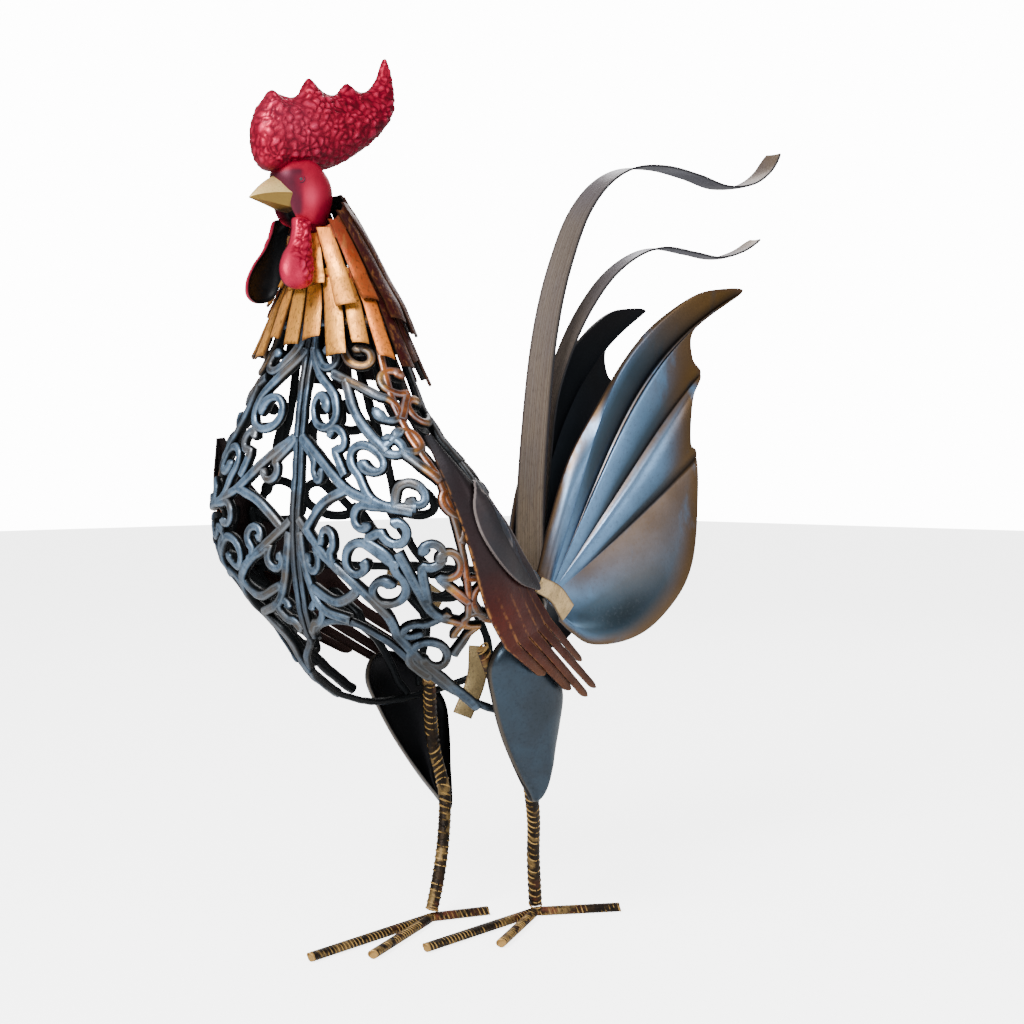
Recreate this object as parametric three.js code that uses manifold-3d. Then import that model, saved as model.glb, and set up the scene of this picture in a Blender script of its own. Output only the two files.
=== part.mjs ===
// A standing rooster made of cut, pressed and bent metal, in millimetres.
// The bird faces -Y, its own left side is +X, +Z is up, and the toes stand on z = 0.
import * as THREE from "three";
import * as BufferGeometryUtils from "three/addons/utils/BufferGeometryUtils.js";
import Module from "manifold-3d";

const wasm = await Module();
wasm.setup();

const GAP = 0.3;            // clearance between pieces that touch
const SHEET = 1.4;          // thickness of the cut sheet of feathers and ribbons
const PRESSED = 1.8;        // wall of the pressed shells
const SCROLL_WIDTH = 6.2;   // width of a scroll bar of the body
const SCROLL_DEPTH = 4.2;   // how far a scroll bar stands across the body wall
const LEG_RADIUS = 4.6;     // ribbed bar of the legs
const TOE_RADIUS = 3.3;     // thinner ribbed bar of the toes
const COMB_HALF = 12;       // half the thickness of the comb
const WING_BULGE = 9;       // how far a wing arches outwards
const WING_OUT = 1.2;       // space between a wing and the flank it lies on
const LEAF_TURN = 0.24;     // outward turn of a tail leaf, radians
const LEAF_HEIGHT = 205;    // height of a leaf's tip above its root
const LEAF_SWEEP = 66;      // how far the flutes have swept back at that height
const LEAF_BULGE = 13;      // how far a panel of a tail leaf arches

const { sin, cos, abs, PI, hypot, exp, min, max, floor } = Math;
const V = (x, y, z) => new THREE.Vector3(x, y, z);
const group = new THREE.Group();

// Adds one named piece with its own material.
function addPiece(name, geometry, color, roughness, metalness) {
  const material = new THREE.MeshStandardMaterial({ color, roughness, metalness, flatShading: true });
  const mesh = new THREE.Mesh(geometry, material);
  mesh.name = name;
  group.add(mesh);
}

// Volume inside a closed indexed surface; negative when its faces point inwards.
function signedVolume(points, index) {
  let sum = 0;
  for (let i = 0; i < index.length; i += 3) {
    const [a, b, c] = [points[index[i]], points[index[i + 1]], points[index[i + 2]]];
    sum += a.dot(b.clone().cross(c)) / 6;
  }
  return sum;
}

// Makes a geometry from points and triangles, with the faces turned outwards.
function closedGeometry(points, index) {
  const turned = signedVolume(points, index) < 0 ? index.slice().reverse() : index;
  const geometry = new THREE.BufferGeometry();
  const places = points.flatMap((p) => [p.x, p.y, p.z]);
  geometry.setAttribute("position", new THREE.Float32BufferAttribute(places, 3));
  geometry.setIndex(turned);
  return geometry;
}

// Joins rings of equal count into a closed solid; the end rings are closed by flat caps.
function loft(rings, capPlane) {
  const count = rings[0].length;
  const points = rings.flat();
  const index = [];
  for (let r = 0; r + 1 < rings.length; r += 1) {
    for (let i = 0; i < count; i += 1) {
      const j = (i + 1) % count;
      const [a, b, c, d] = [r * count + i, r * count + j, (r + 1) * count + j, (r + 1) * count + i];
      index.push(a, b, c, a, c, d);
    }
  }
  const flat = capPlane ?? ((p) => new THREE.Vector2(p.x, p.y));
  const cap = (ring, base, flip) => {
    for (const t of capTriangles(ring, flat)) {
      index.push(...(flip ? [t[2], t[1], t[0]] : t).map((k) => base + k));
    }
  };
  cap(rings[0], 0, true);
  cap(rings.at(-1), (rings.length - 1) * count, false);
  return closedGeometry(points, index);
}

// Triangles of a cap, in the ring's own direction.
function capTriangles(ring, flat) {
  if (ring.length <= 8) {
    return Array.from({ length: ring.length - 2 }, (unused, k) => [0, k + 1, k + 2]);
  }
  const plane = ring.map(flat);
  const found = THREE.ShapeUtils.triangulateShape(plane, []);
  const ringTurn = THREE.ShapeUtils.area(plane) > 0;
  return found.map((t) => {
    const turn = THREE.ShapeUtils.area(t.map((k) => plane[k])) > 0;
    return turn === ringTurn ? t : [t[2], t[1], t[0]];
  });
}

// Closes a patch of four-cornered faces into a sheet: every outer point has an inner twin.
function slab(outer, inner, quads) {
  const count = outer.length;
  const index = [];
  const edges = new Map();
  for (const q of quads) {
    index.push(q[0], q[1], q[2], q[0], q[2], q[3]);
    index.push(...[q[2], q[1], q[0], q[3], q[2], q[0]].map((k) => k + count));
    q.forEach((a, k) => edges.set(`${a}-${q[(k + 1) % 4]}`, [a, q[(k + 1) % 4]]));
  }
  for (const [a, b] of edges.values()) {
    if (!edges.has(`${b}-${a}`)) index.push(b, a, a + count, b, a + count, b + count);
  }
  return closedGeometry([...outer, ...inner], index);
}

// Solid used for joining and cutting.
function toSolid(geometry) {
  const plain = geometry.clone();
  plain.deleteAttribute("normal");
  plain.deleteAttribute("uv");
  const merged = BufferGeometryUtils.mergeVertices(plain, 1e-4);
  const vertProperties = new Float32Array(merged.attributes.position.array);
  const triVerts = new Uint32Array(merged.index.array);
  return new wasm.Manifold(new wasm.Mesh({ numProp: 3, vertProperties, triVerts }));
}

function fromSolid(solid) {
  const mesh = solid.getMesh();
  const geometry = new THREE.BufferGeometry();
  geometry.setAttribute("position", new THREE.BufferAttribute(new Float32Array(mesh.vertProperties), 3));
  geometry.setIndex(new THREE.BufferAttribute(new Uint32Array(mesh.triVerts), 1));
  return geometry;
}

function fuse(geometries) {
  return geometries.map(toSolid).reduce((whole, next) => whole.add(next));
}

// Smooth value of a table of rows whose first column is the driving height.
function tableValue(rows, column, at) {
  const found = rows.findIndex((r, i) => i + 1 < rows.length && at <= rows[i + 1][0]);
  const k = max(0, min(rows.length - 2, found));
  const [lo, hi] = [rows[k], rows[k + 1]];
  const t = max(0, min(1, (at - lo[0]) / (hi[0] - lo[0])));
  return lo[column] + (hi[column] - lo[column]) * t;
}

// A flat or round bar swept along points; side(i) gives the direction of its width.
function bar(points, side, profile) {
  const rings = points.map((p, i) => {
    const ahead = points[min(i + 1, points.length - 1)];
    const behind = points[max(i - 1, 0)];
    const along = ahead.clone().sub(behind).normalize();
    const across = side(i).clone();
    across.addScaledVector(along, -across.dot(along)).normalize();
    const out = along.clone().cross(across);
    const corners = profile(i / (points.length - 1));
    return corners.map(([w, h]) => p.clone().addScaledVector(across, w).addScaledVector(out, h));
  });
  return loft(rings);
}

function smooth(points, count) {
  return new THREE.CatmullRomCurve3(points, false, "centripetal").getSpacedPoints(count);
}

// THE BODY SURFACE
// Each row: height, half width, front, widest place and back along Y, squareness of breast and back.
const BODY = [
  [130, 35, -75, -50, -25, 2.0, 1.6],
  [137, 54, -100, -60, -10, 2.0, 1.6],
  [148, 60, -128, -70, 0, 2.0, 1.6],
  [160, 62, -146, -76, 6, 2.0, 1.6],
  [176, 64, -162, -82, 10, 2.0, 1.6],
  [192, 72, -172, -90, 12, 2.0, 1.6],
  [204, 90, -176, -98, 10, 2.1, 1.5],
  [216, 98, -178, -110, 4, 2.3, 1.4],
  [230, 104, -180, -122, -6, 2.6, 1.3],
  [245, 106, -181, -129, -22, 2.8, 1.3],
  [262, 105, -181, -135, -42, 2.8, 1.35],
  [280, 99, -179, -140, -62, 2.8, 1.4],
  [301, 81, -178, -145, -87, 2.8, 1.45],
  [320, 67, -176, -146, -101, 2.7, 1.5],
  [338, 57, -173, -145, -109, 2.5, 1.6],
  [356, 48, -169, -144, -115, 2.3, 1.7],
  [372, 41, -166, -144, -119, 2.1, 1.8],
];
const CREASE = 7;       // how far the breast seam lies behind the swelling on each side
const SEAM_HALF = 2.2;  // half the width of the bar along each seam

// Point of the left half of a section: around = 0 in front, 1 at the side, 2 at the back.
function sectionPoint(rows, around, height, grow) {
  const [a, front, wide, back, square, taper] = [1, 2, 3, 4, 5, 6].map((c) => tableValue(rows, c, height));
  const turn = around * PI / 2;
  const [c, s] = [cos(turn), max(0, sin(turn))];
  const power = around <= 1 ? square : taper;
  const reach = (abs(c) ** power + s ** power) ** (-1 / power);
  const depth = (around <= 1 ? wide - front : back - wide) + grow;
  return V((a + grow) * s * reach, wide - depth * c * reach, height);
}

// Point of the left half of the body: 0 is the breast seam and 2 the back seam.
function bodyPoint(around, height) {
  const p = sectionPoint(BODY, around, height, 0);
  if (around <= 1) p.y += CREASE * exp(-((p.x / (0.3 * tableValue(BODY, 1, height))) ** 2));
  return p;
}

function bodyNormal(around, height) {
  const step = 0.02;
  const u = min(max(around, step), 2 - step);
  const alongU = bodyPoint(u + step, height).sub(bodyPoint(u - step, height));
  const alongZ = bodyPoint(u, height + 3).sub(bodyPoint(u, height - 3));
  return alongU.cross(alongZ).normalize();
}

// How many millimetres one unit of "around" and of height measure at a place on the body.
function bodyScale(around, height) {
  const u = min(max(around, 0.06), 1.94);
  const acrossScale = bodyPoint(u + 0.05, height).distanceTo(bodyPoint(u - 0.05, height)) / 0.1;
  const upScale = bodyPoint(u, height + 4).distanceTo(bodyPoint(u, height - 4)) / 8;
  return [acrossScale, max(1, upScale)];
}

// Section of a scroll bar: flat inside, ridged outside, in parts of its half width and depth.
const RIDGED = [[-1, 0], [1, 0], [0, 1.15]];

// A bar of the body wall through [around, height] places; it may end in a round bud.
function bodyBar(places, segments, bud = false, width = SCROLL_WIDTH) {
  const flat = places.map(([u, z]) => V(u * 90, z, 0));
  const run = smooth(flat, segments);
  const inside = width / 2 + 2 * GAP;
  const points = run.map((p) => bodyPoint(min(2, max(0, p.x / 90)), p.y));
  points.forEach((p) => { p.x = max(p.x, inside); });
  const normals = run.map((p) => bodyNormal(p.x / 90, p.y));
  const rings = points.map((p, i) => {
    const along = points[min(i + 1, segments)].clone().sub(points[max(i - 1, 0)]).normalize();
    const out = normals[i];
    const across = along.clone().cross(out).normalize();
    const t = i / segments;
    const swell = bud ? (t > 0.9 ? 1.25 : 1 - 0.25 * t) : 1;
    const half = width * 0.5 * swell;
    return RIDGED.map(([w, h]) => p.clone()
      .addScaledVector(across, w * half).addScaledVector(out, (h - 0.5) * SCROLL_DEPTH));
  });
  return loft(rings);
}

// Places of a scroll: it leaves the stem and winds in from its outer radius.
function scrollPlaces({ at, radius, start, turns, hand, stem = [], steps = 8, inner = 0.34 }) {
  const [across, up] = bodyScale(at[0], at[1]);
  const winding = Array.from({ length: steps + 1 }, (unused, k) => {
    const t = k / steps;
    const angle = (start + hand * 360 * turns * t) * PI / 180;
    const r = radius * (1 - (1 - inner) * t);
    return [at[0] + r * cos(angle) / across, at[1] + r * sin(angle) / up];
  });
  return [...stem, ...winding];
}

function scroll(spec) {
  const places = scrollPlaces(spec);
  return bodyBar(places, spec.segments ?? 10, true);
}

// Scrolls of the breast: centre [around, height], radius, start angle, turns and hand of winding.
const BREAST_SCROLLS = [
  { at: [0.22, 319], radius: 14, start: 35, turns: 1.2, hand: -1, stem: [[0.03, 354], [0.16, 342]] },
  { at: [0.44, 289], radius: 13, start: 215, turns: 1.15, hand: -1, stem: [[0.58, 262], [0.42, 267]] },
  { at: [0.37, 257], radius: 9, start: 60, turns: 0.8, hand: 1, stem: [[0.6, 264]] },
  { at: [0.5, 252], radius: 9, start: 190, turns: 0.85, hand: 1, stem: [[0.38, 247]], segments: 9 },
  { at: [0.34, 234], radius: 12, start: 45, turns: 0.95, hand: 1, stem: [[0.5, 232]] },
  { at: [0.45, 219], radius: 13, start: 60, turns: 1.1, hand: -1, stem: [[0.37, 246], [0.46, 238]] },
  { at: [0.68, 178], radius: 14, start: 215, turns: 1.15, hand: -1, stem: [[0.63, 166]] },
  { at: [0.3, 348], radius: 8, start: 200, turns: 0.9, hand: 1, stem: [[0.08, 368], [0.12, 354]] },
  { at: [0.58, 348], radius: 8, start: 200, turns: 0.9, hand: 1, stem: [[0.4, 368], [0.42, 354]] },
  { at: [0.66, 316], radius: 10, start: 90, turns: 0.85, hand: -1, stem: [[0.33, 338], [0.5, 331]] },
  { at: [0.1, 233], radius: 8, start: 60, turns: 0.9, hand: -1, stem: [[0.24, 232]], segments: 9 },
  { at: [0.15, 283], radius: 7, start: 120, turns: 0.8, hand: 1, stem: [[0.02, 303]], segments: 9 },
  { at: [0.3, 303], radius: 8, start: 250, turns: 0.85, hand: 1, stem: [[0.3, 281]], segments: 6 },
  { at: [0.6, 298], radius: 8, start: 210, turns: 0.85, hand: 1, stem: [[0.72, 306]], segments: 6 },
  { at: [0.6, 270], radius: 9, start: 150, turns: 0.9, hand: -1, stem: [[0.5, 264]], segments: 6 },
  { at: [0.64, 240], radius: 9, start: 240, turns: 0.9, hand: 1, stem: [[0.62, 212]], segments: 6 },
  { at: [0.19, 246], radius: 8, start: 300, turns: 0.85, hand: 1, stem: [[0.22, 232]], segments: 6 },
  { at: [0.6, 194], radius: 8, start: 60, turns: 0.9, hand: 1, stem: [[0.72, 206]], segments: 6 },
  { at: [0.1, 205], radius: 8, start: 250, turns: 0.85, hand: 1, stem: [[0.04, 192]], segments: 6 },
];

// Plain bars of the breast between the scrolls.
const BREAST_BARS = [
  [[0.42, 334], [0.46, 312], [0.55, 294]],
  [[0.02, 304], [0.16, 292], [0.31, 273], [0.42, 267]],
  [[0.31, 274], [0.18, 266], [0.06, 250]],
  [[0.02, 256], [0.2, 235], [0.34, 220], [0.48, 201], [0.61, 178], [0.7, 163], [0.8, 146]],
  [[0.03, 249], [0.07, 222], [0.14, 207], [0.3, 201]],
  [[0.25, 230], [0.33, 219], [0.24, 211], [0.09, 218]],
  [[0.5, 240], [0.58, 220], [0.66, 205], [0.8, 199]],
];

// Small scrolls that run down the flank under the wing's front edge.
const FLANK_TOP = 334;
const FLANK_STEP = 33;
const FLANK_COUNT = 5;

// Larger, plainer scrolls of the hidden flank and back.
const BACK_COLUMNS = [1.12, 1.43, 1.74];
const BACK_ROWS = [318, 268, 214];
const BACK_SHARE = 0.14;   // radius of a back scroll, as a share of the wall's quarter

// A waving stem that runs down the body, and the place of its middle at a height.
const STEM_TOP = 366;
const STEM_WAVE = 92;
const stemAround = (around, swing, height) => around - swing * sin((STEM_TOP - height) / STEM_WAVE * PI);
function stemBar(around, swing, foot) {
  const steps = 8;
  const places = Array.from({ length: steps + 1 }, (unused, k) => {
    const height = STEM_TOP + (foot - STEM_TOP) * k / steps;
    return [stemAround(around, swing, height), height];
  });
  return bodyBar(places, steps, false, 5);
}

function flankScrolls() {
  const list = [stemBar(0.79, 0.03, 190)];
  for (let k = 0; k < FLANK_COUNT; k += 1) {
    const height = FLANK_TOP - k * FLANK_STEP;
    const hand = k % 2 ? 1 : -1;
    const foot = height - FLANK_STEP * 0.7;
    list.push(scroll({ at: [0.79 - 0.07 * hand, height], radius: 10, start: 270 - hand * 30, turns: 0.85,
      hand, stem: [[stemAround(0.79, 0.03, foot), foot]], segments: 7, steps: 6 }));
  }
  return list;
}

function backScrolls() {
  const list = [];
  for (const [c, around] of BACK_COLUMNS.entries()) {
    const swing = c % 2 ? 0.1 : -0.1;
    for (const [r, height] of BACK_ROWS.entries()) {
      const hand = (r + c) % 2 ? 1 : -1;
      const across = bodyScale(around, height)[0];
      const radius = max(9, BACK_SHARE * across);
      const foot = height - 30;
      const root = stemAround(around, swing, foot);
      list.push(scroll({ at: [root + hand * radius / across, height], radius, start: 270 - hand * 60,
        turns: 0.9, hand, stem: [[root, foot]], segments: 6, steps: 6 }));
    }
    list.push(stemBar(around, swing, 140 + 5 * c));
  }
  list.push(bodyBar([[0.8, 226], [1.4, 222], [1.98, 218]], 6, false, 5));
  return list;
}

// Lower edge of each half: the left one is cut higher, so the opening shows the right one's rim.
const RIM_LEFT = [[0, 188], [0.1, 196], [0.27, 200], [0.45, 191], [0.6, 172], [0.7, 158], [0.85, 146],
  [1.1, 139], [1.4, 141], [1.7, 150], [2, 166]];
const RIM_RIGHT = [[0, 188], [0.25, 166], [0.4, 152], [0.55, 143], [0.75, 138], [1.1, 137],
  [1.4, 141], [1.7, 150], [2, 166]];

function bodyHalf(side) {
  const rim = side > 0 ? RIM_LEFT : RIM_RIGHT;
  const seam = (around, top, bottom) => bodyBar(Array.from({ length: 5 },
    (unused, k) => [around, top + (bottom - top) * k / 4]), 8, false, 2 * SEAM_HALF);
  const pieces = [
    bodyBar(Array.from({ length: 9 }, (unused, k) => [k / 4, 368]), 12, false, 6),
    bodyBar(rim, 18, false, 4.4),
    seam(0, 368, 188),
    seam(2, 368, 166),
    ...BREAST_BARS.map((places) => bodyBar(places, places.length * 2)),
    ...BREAST_SCROLLS.map(scroll),
    ...flankScrolls(),
    ...backScrolls(),
  ];
  if (side < 0) {
    pieces.push(
      bodyBar([[0.3, 201], [0.2, 184], [0.25, 166]], 5),
      bodyBar([[0.48, 201], [0.42, 176], [0.5, 147]], 6),
      scroll({
        at: [0.42, 172], radius: 9, start: 250, turns: 0.9, hand: 1, stem: [[0.5, 147]], segments: 9,
      }),
    );
  }
  const half = fromSolid(fuse(pieces));
  return side > 0 ? half : mirrored(half);
}

function mirrored(geometry) {
  const other = geometry.clone();
  const place = other.attributes.position;
  for (let i = 0; i < place.count; i += 1) place.setX(i, -place.getX(i));
  other.setIndex(Array.from(other.index.array).reverse());
  return other;
}

addPiece("body_left", bodyHalf(1), 0x6d8498, 0.5, 0.8);
addPiece("body_right", bodyHalf(-1), 0x6d8498, 0.5, 0.8);

// PRESSED PLATES
// Nearest point of a polyline in the Y-Z plane.
function nearestOn(line, [y, z]) {
  let best = [line[0], Infinity];
  for (let i = 0; i + 1 < line.length; i += 1) {
    const [a, b] = [line[i], line[i + 1]];
    const [dy, dz] = [b[0] - a[0], b[1] - a[1]];
    const t = max(0, min(1, ((y - a[0]) * dy + (z - a[1]) * dz) / (dy * dy + dz * dz)));
    const spot = [a[0] + dy * t, a[1] + dz * t];
    const gap = hypot(spot[0] - y, spot[1] - z);
    if (gap < best[1]) best = [spot, gap];
  }
  return best[0];
}

// A plate pressed about a spine: far(f) and near(f) are the X of its two faces at the fraction f inwards.
function pressed(outline, spine, far, near, fractions = [0, 0.22, 0.5, 0.8], place = (p) => p) {
  const ringAt = (f, x) => outline.map((p) => {
    const s = nearestOn(spine, p);
    return V(x, p[0] + (s[0] - p[0]) * f, p[1] + (s[1] - p[1]) * f);
  });
  const back = fractions.slice().reverse().map((f) => ringAt(f, near(f)));
  const front = fractions.map((f) => ringAt(f, far(f)));
  const rings = [...back, ...front].map((ring) => ring.map(place));
  return loft(rings, (p) => new THREE.Vector2(p.y, p.z));
}

// THE HEAD
const COMB = [[-194, 452], [-200, 457], [-202.5, 465], [-203, 473], [-201.5, 481.5], [-198, 489], [-194, 494],
  [-191, 497.5], [-187.5, 496], [-177.5, 495], [-171, 498], [-168, 503.5], [-164.5, 508], [-160.5, 505.5],
  [-156, 502], [-149.5, 500.5], [-143.5, 502], [-139.5, 506.5], [-136.5, 509], [-132.5, 507], [-127.5, 505.5],
  [-121.5, 506.5], [-116, 511], [-112, 517.5], [-109.5, 524], [-107.3, 528.2], [-105.5, 526], [-103.3, 520],
  [-101.5, 513], [-101.3, 505.5], [-103.8, 495.5], [-110, 485.5], [-118.5, 477], [-130, 468.5], [-141, 462],
  [-151, 457.5], [-160, 455.5], [-176, 455.5]];
const COMB_SPINE = [[-190, 473], [-172, 476], [-150, 480], [-128, 486], [-113, 495], [-107, 508]];
const COMB_THIN = [488, 512, 0.36];  // the comb thins between these heights, down to this share
const round = (f) => Math.sqrt(max(0, 1 - (1 - f) ** 2));
function combPlace(p, gap) {
  const [low, high, least] = COMB_THIN;
  const share = 1 - (1 - least) * max(0, min(1, (p.z - low) / (high - low)));
  return V(p.x * share + Math.sign(p.x) * gap, p.y, p.z - gap);
}
const combFace = (side) => (f) => side * (0.6 + COMB_HALF * round(f));
const combShape = (gap) => pressed(COMB, COMB_SPINE, combFace(1), combFace(-1), [0, 0.12, 0.36, 0.7],
  (p) => combPlace(p, gap));
addPiece("comb", combShape(0), 0xb4294a, 0.45, 0.35);

// Whole ring of a table of rows; grow makes it wider all round.
function wholePoint(rows, turn, height, grow) {
  const whole = (turn / PI * 2 + 8) % 4;
  const p = sectionPoint(rows, whole <= 2 ? whole : 4 - whole, height, grow);
  if (whole > 2) p.x = -p.x;
  return p;
}

// The head, from inside the collar up to the comb, in the same columns as the body.
const HEAD = [
  [404, 9, -164, -158, -150, 2, 2],
  [420, 9.5, -167, -160, -150, 2, 2],
  [424.5, 12, -180, -168, -153, 2, 2],
  [428, 13.2, -183.5, -169.5, -153, 2.1, 2],
  [434, 14.2, -186.5, -170, -151.5, 2.1, 2],
  [443, 15, -188.5, -169.5, -150.5, 2.1, 2],
  [450, 14.2, -189.5, -170, -153.5, 2.1, 2],
  [456, 11.5, -188, -171, -157.5, 2, 2],
  [461, 6, -182, -172, -163, 2, 2],
];
const HEAD_SIDES = 24;
const headShape = (grow) => loft(HEAD.map(([height]) => Array.from({ length: HEAD_SIDES },
  (unused, k) => wholePoint(HEAD, k * 2 * PI / HEAD_SIDES, height, grow))));
const aroundHead = toSolid(headShape(GAP));
addPiece("head", fromSolid(toSolid(headShape(0)).subtract(toSolid(combShape(GAP)))), 0x9c2a40, 0.45, 0.35);

// The beak has a ridge, two upper faces, the mouth corners and a keel below; it closes on the face.
const BEAK_ROOT = [-180, 451.5];
const BEAK_TIP = [-206.5, 436.4];
const BEAK_HALF = 10.8;
function beakRing(t) {
  const half = BEAK_HALF * (1 - t) ** 0.9 + 0.35;
  const ridge = BEAK_TIP[1] + (BEAK_ROOT[1] - BEAK_TIP[1]) * (1 - t * t);
  const mouth = BEAK_TIP[1] - 0.3 + 3.6 * (1 - t ** 3);
  const keel = BEAK_TIP[1] - 0.9 - 6 * (1 - t);
  const upper = mouth + 0.62 * (ridge - mouth);
  const lower = keel + 0.2 * (mouth - keel);
  const side = [[0.62 * half, upper], [half, mouth], [0.74 * half, lower]];
  const y = BEAK_ROOT[0] + (BEAK_TIP[0] - BEAK_ROOT[0]) * t;
  const right = side.map(([x, z]) => [-x, z]).reverse();
  return [[0, ridge], ...side, [0, keel], ...right].map(([x, z]) => V(x, y, z));
}
const beakShape = loft([0, 0.3, 0.6, 0.8, 0.92, 1].map(beakRing), (p) => new THREE.Vector2(p.x, p.z));
const behindBeak = aroundHead.add(toSolid(combShape(GAP)));
addPiece("beak", fromSolid(toSolid(beakShape).subtract(behindBeak)), 0xd9bb7c, 0.45, 0.6);

// Two wattles hang from the cheeks, each a shell that is hollow towards the other.
const WATTLE_TOP = 426;
const WATTLE_OUT = 7;        // how far the rim is from the middle at the top
const WATTLE_LEAN = 0.22;    // how fast it leaves the middle downwards
const WATTLE_BULGE = 7;
const WATTLE = [[-182, 426], [-184, 419], [-187.5, 411], [-193, 404], [-196.5, 396], [-195.5, 389],
  [-190, 385.5], [-182, 386], [-176.5, 390], [-174.5, 397], [-174, 406], [-173.5, 416], [-173, 425]];
const WATTLE_SPINE = [[-178, 420], [-180, 410], [-184, 400], [-185, 395]];
function wattle(side, stretch) {
  const lean = (p) => V(side * (p.x + WATTLE_OUT + (WATTLE_TOP - p.z) * WATTLE_LEAN), p.y,
    WATTLE_TOP - (WATTLE_TOP - p.z) * stretch);
  const inner = (f) => WATTLE_BULGE * round(f);
  const shell = pressed(WATTLE, WATTLE_SPINE, (f) => PRESSED + inner(f), inner, [0, 0.3, 0.75], lean);
  return fromSolid(toSolid(shell).subtract(aroundHead));
}
addPiece("wattle_left", wattle(1, 1), 0xa82a46, 0.45, 0.35);
addPiece("wattle_right", wattle(-1, 1.15), 0xa82a46, 0.45, 0.35);

// THE COLLARS
// Rows of the neck, in the same columns as those of the body.
const NECK = [
  [325, 70, -180, -146, -96, 2.5, 1.6],
  [345, 58, -176.5, -146, -105, 2.3, 1.7],
  [360, 50, -173.5, -146, -112, 2.2, 1.8],
  [378, 41, -170, -146, -118, 2.1, 1.9],
  [394, 29.5, -167, -146.5, -124, 2.0, 2.0],
  [410, 23.5, -169, -150, -129, 2.0, 2.0],
  [424, 20.5, -173, -156, -136, 2.0, 2.0],
  [436, 18, -180, -161, -143, 2.0, 2.0],
  [446, 16.5, -180, -163, -147.5, 2.0, 2.0],
];
const neckPoint = (turn, height, grow) => wholePoint(NECK, turn, height, grow);
// A collar: a band at the top and cut feather strips below it, longer at the back of the neck.
function collar({ top, rise, band, front, back, count, hug, grow }) {
  const levels = [];
  for (let k = 0; k < count; k += 1) {
    const behind = (1 - cos(k * 2 * PI / count)) / 2;
    const tip = front + (back - front) * behind + 5 * sin(k * 2.4);
    const edge = top + rise * behind;
    const heights = [edge, edge - band, (edge - band + tip) / 2, tip];
    for (const end of [-1, 1]) {
      levels.push(heights.map((z, r) => {
        const narrow = [0.46, 0.46, 0.42, 0.37][r];
        const lift = hug + (grow - hug) * [0, 0.4, 1, 1][r] + [0, 0, 0.4, 1][r] * (0.7 + (k % 3) * 0.8);
        return [(k + end * narrow) * 2 * PI / count, z, lift];
      }));
    }
  }
  const places = levels.flat();
  const outer = places.map(([turn, z, lift]) => neckPoint(turn, z, lift + SHEET));
  const inner = places.map(([turn, z, lift]) => neckPoint(turn, z, lift));
  const quads = [];
  for (let k = 0; k < 2 * count; k += 1) {
    const next = (k + 1) % (2 * count);
    const rows = k % 2 ? 1 : 3;
    for (let r = 0; r < rows; r += 1) quads.push([k * 4 + r, next * 4 + r, next * 4 + r + 1, k * 4 + r + 1]);
  }
  return slab(outer, inner, quads);
}
const UPPER_COLLAR = { top: 417, rise: 26, band: 9, front: 387, back: 356, count: 15, hug: 0.4, grow: 4.8 };
const LOWER_COLLAR = { top: 398, rise: 4, band: 10, front: 356, back: 333, count: 20, hug: 1.2, grow: 1.6 };
addPiece("hackle_upper", collar(UPPER_COLLAR), 0xc98a4c, 0.5, 0.5);
addPiece("hackle_lower", collar(LOWER_COLLAR), 0xd0924f, 0.5, 0.5);

// THE WINGS
// Front and back edges of a wing from its upper point to the row where the feathers start.
const WING_FRONT = [
  V(94, -161, 303), V(107, -154, 270), V(110, -143, 240), V(105, -126, 208), V(98, -104, 184),
];
const WING_BACK = [V(92, -157, 304), V(100, -139, 284), V(100, -112, 258), V(91, -86, 231), V(85, -54, 198)];
const WING_TIPS = [V(88, -62, 165), V(81, -32, 153), V(76, -12, 147), V(73, -1, 151), V(76, -17, 169)];

// Columns of a wing: two for each feather, with a narrow slit between neighbours.
const FEATHERS = WING_TIPS.length;
const WING_COLUMNS = Array.from({ length: 2 * FEATHERS }, (unused, c) => (
  (floor(c / 2) + (c % 2)) / FEATHERS + (c % 2 ? -0.008 : 0.008)));

function wingPlace(front, back, t, arch) {
  const p = front.clone().lerp(back, t);
  p.x += WING_OUT + WING_BULGE * sin(PI * t) * sin(PI * min(1, arch));
  return p;
}

function wingGrid(rows, columns) {
  const front = smooth(WING_FRONT, rows);
  const back = smooth(WING_BACK, rows);
  return front.map((f, r) => columns.map((t) => wingPlace(f, back[r], t, 0.12 + 0.75 * r / rows)));
}

// Faces of a grid of points, four corners each.
function gridQuads(rows, columns) {
  const quads = [];
  for (let r = 0; r + 1 < rows; r += 1) {
    for (let c = 0; c + 1 < columns; c += 1) {
      const k = r * columns + c;
      quads.push([k, k + 1, k + columns + 1, k + columns]);
    }
  }
  return quads;
}

function wing(side) {
  const rows = 6;
  const grid = wingGrid(rows, WING_COLUMNS);
  const columns = WING_COLUMNS.length;
  const outer = grid.flat();
  const quads = gridQuads(rows + 1, columns);
  WING_TIPS.forEach((tip, f) => {
    let [a, b] = [rows * columns + 2 * f, rows * columns + 2 * f + 1];
    const [left, right] = [outer[a], outer[b]];
    for (const t of [0.5, 0.95, 1]) {
      const middle = left.clone().lerp(right, 0.5).lerp(tip, t);
      const half = right.clone().sub(left).multiplyScalar(t > 0.97 ? 0.16 : 0.5 - 0.14 * t);
      outer.push(middle.clone().sub(half), middle.clone().add(half));
      const [c, d] = [outer.length - 2, outer.length - 1];
      quads.push([a, b, d, c]);
      [a, b] = [c, d];
    }
  });
  const whole = slab(outer, outer.map((p) => V(p.x - SHEET, p.y, p.z)), quads);
  return side > 0 ? whole : mirrored(whole);
}
addPiece("wing_left", wing(1), 0x5b3427, 0.5, 0.6);
addPiece("wing_right", wing(-1), 0x5b3427, 0.5, 0.6);

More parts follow.
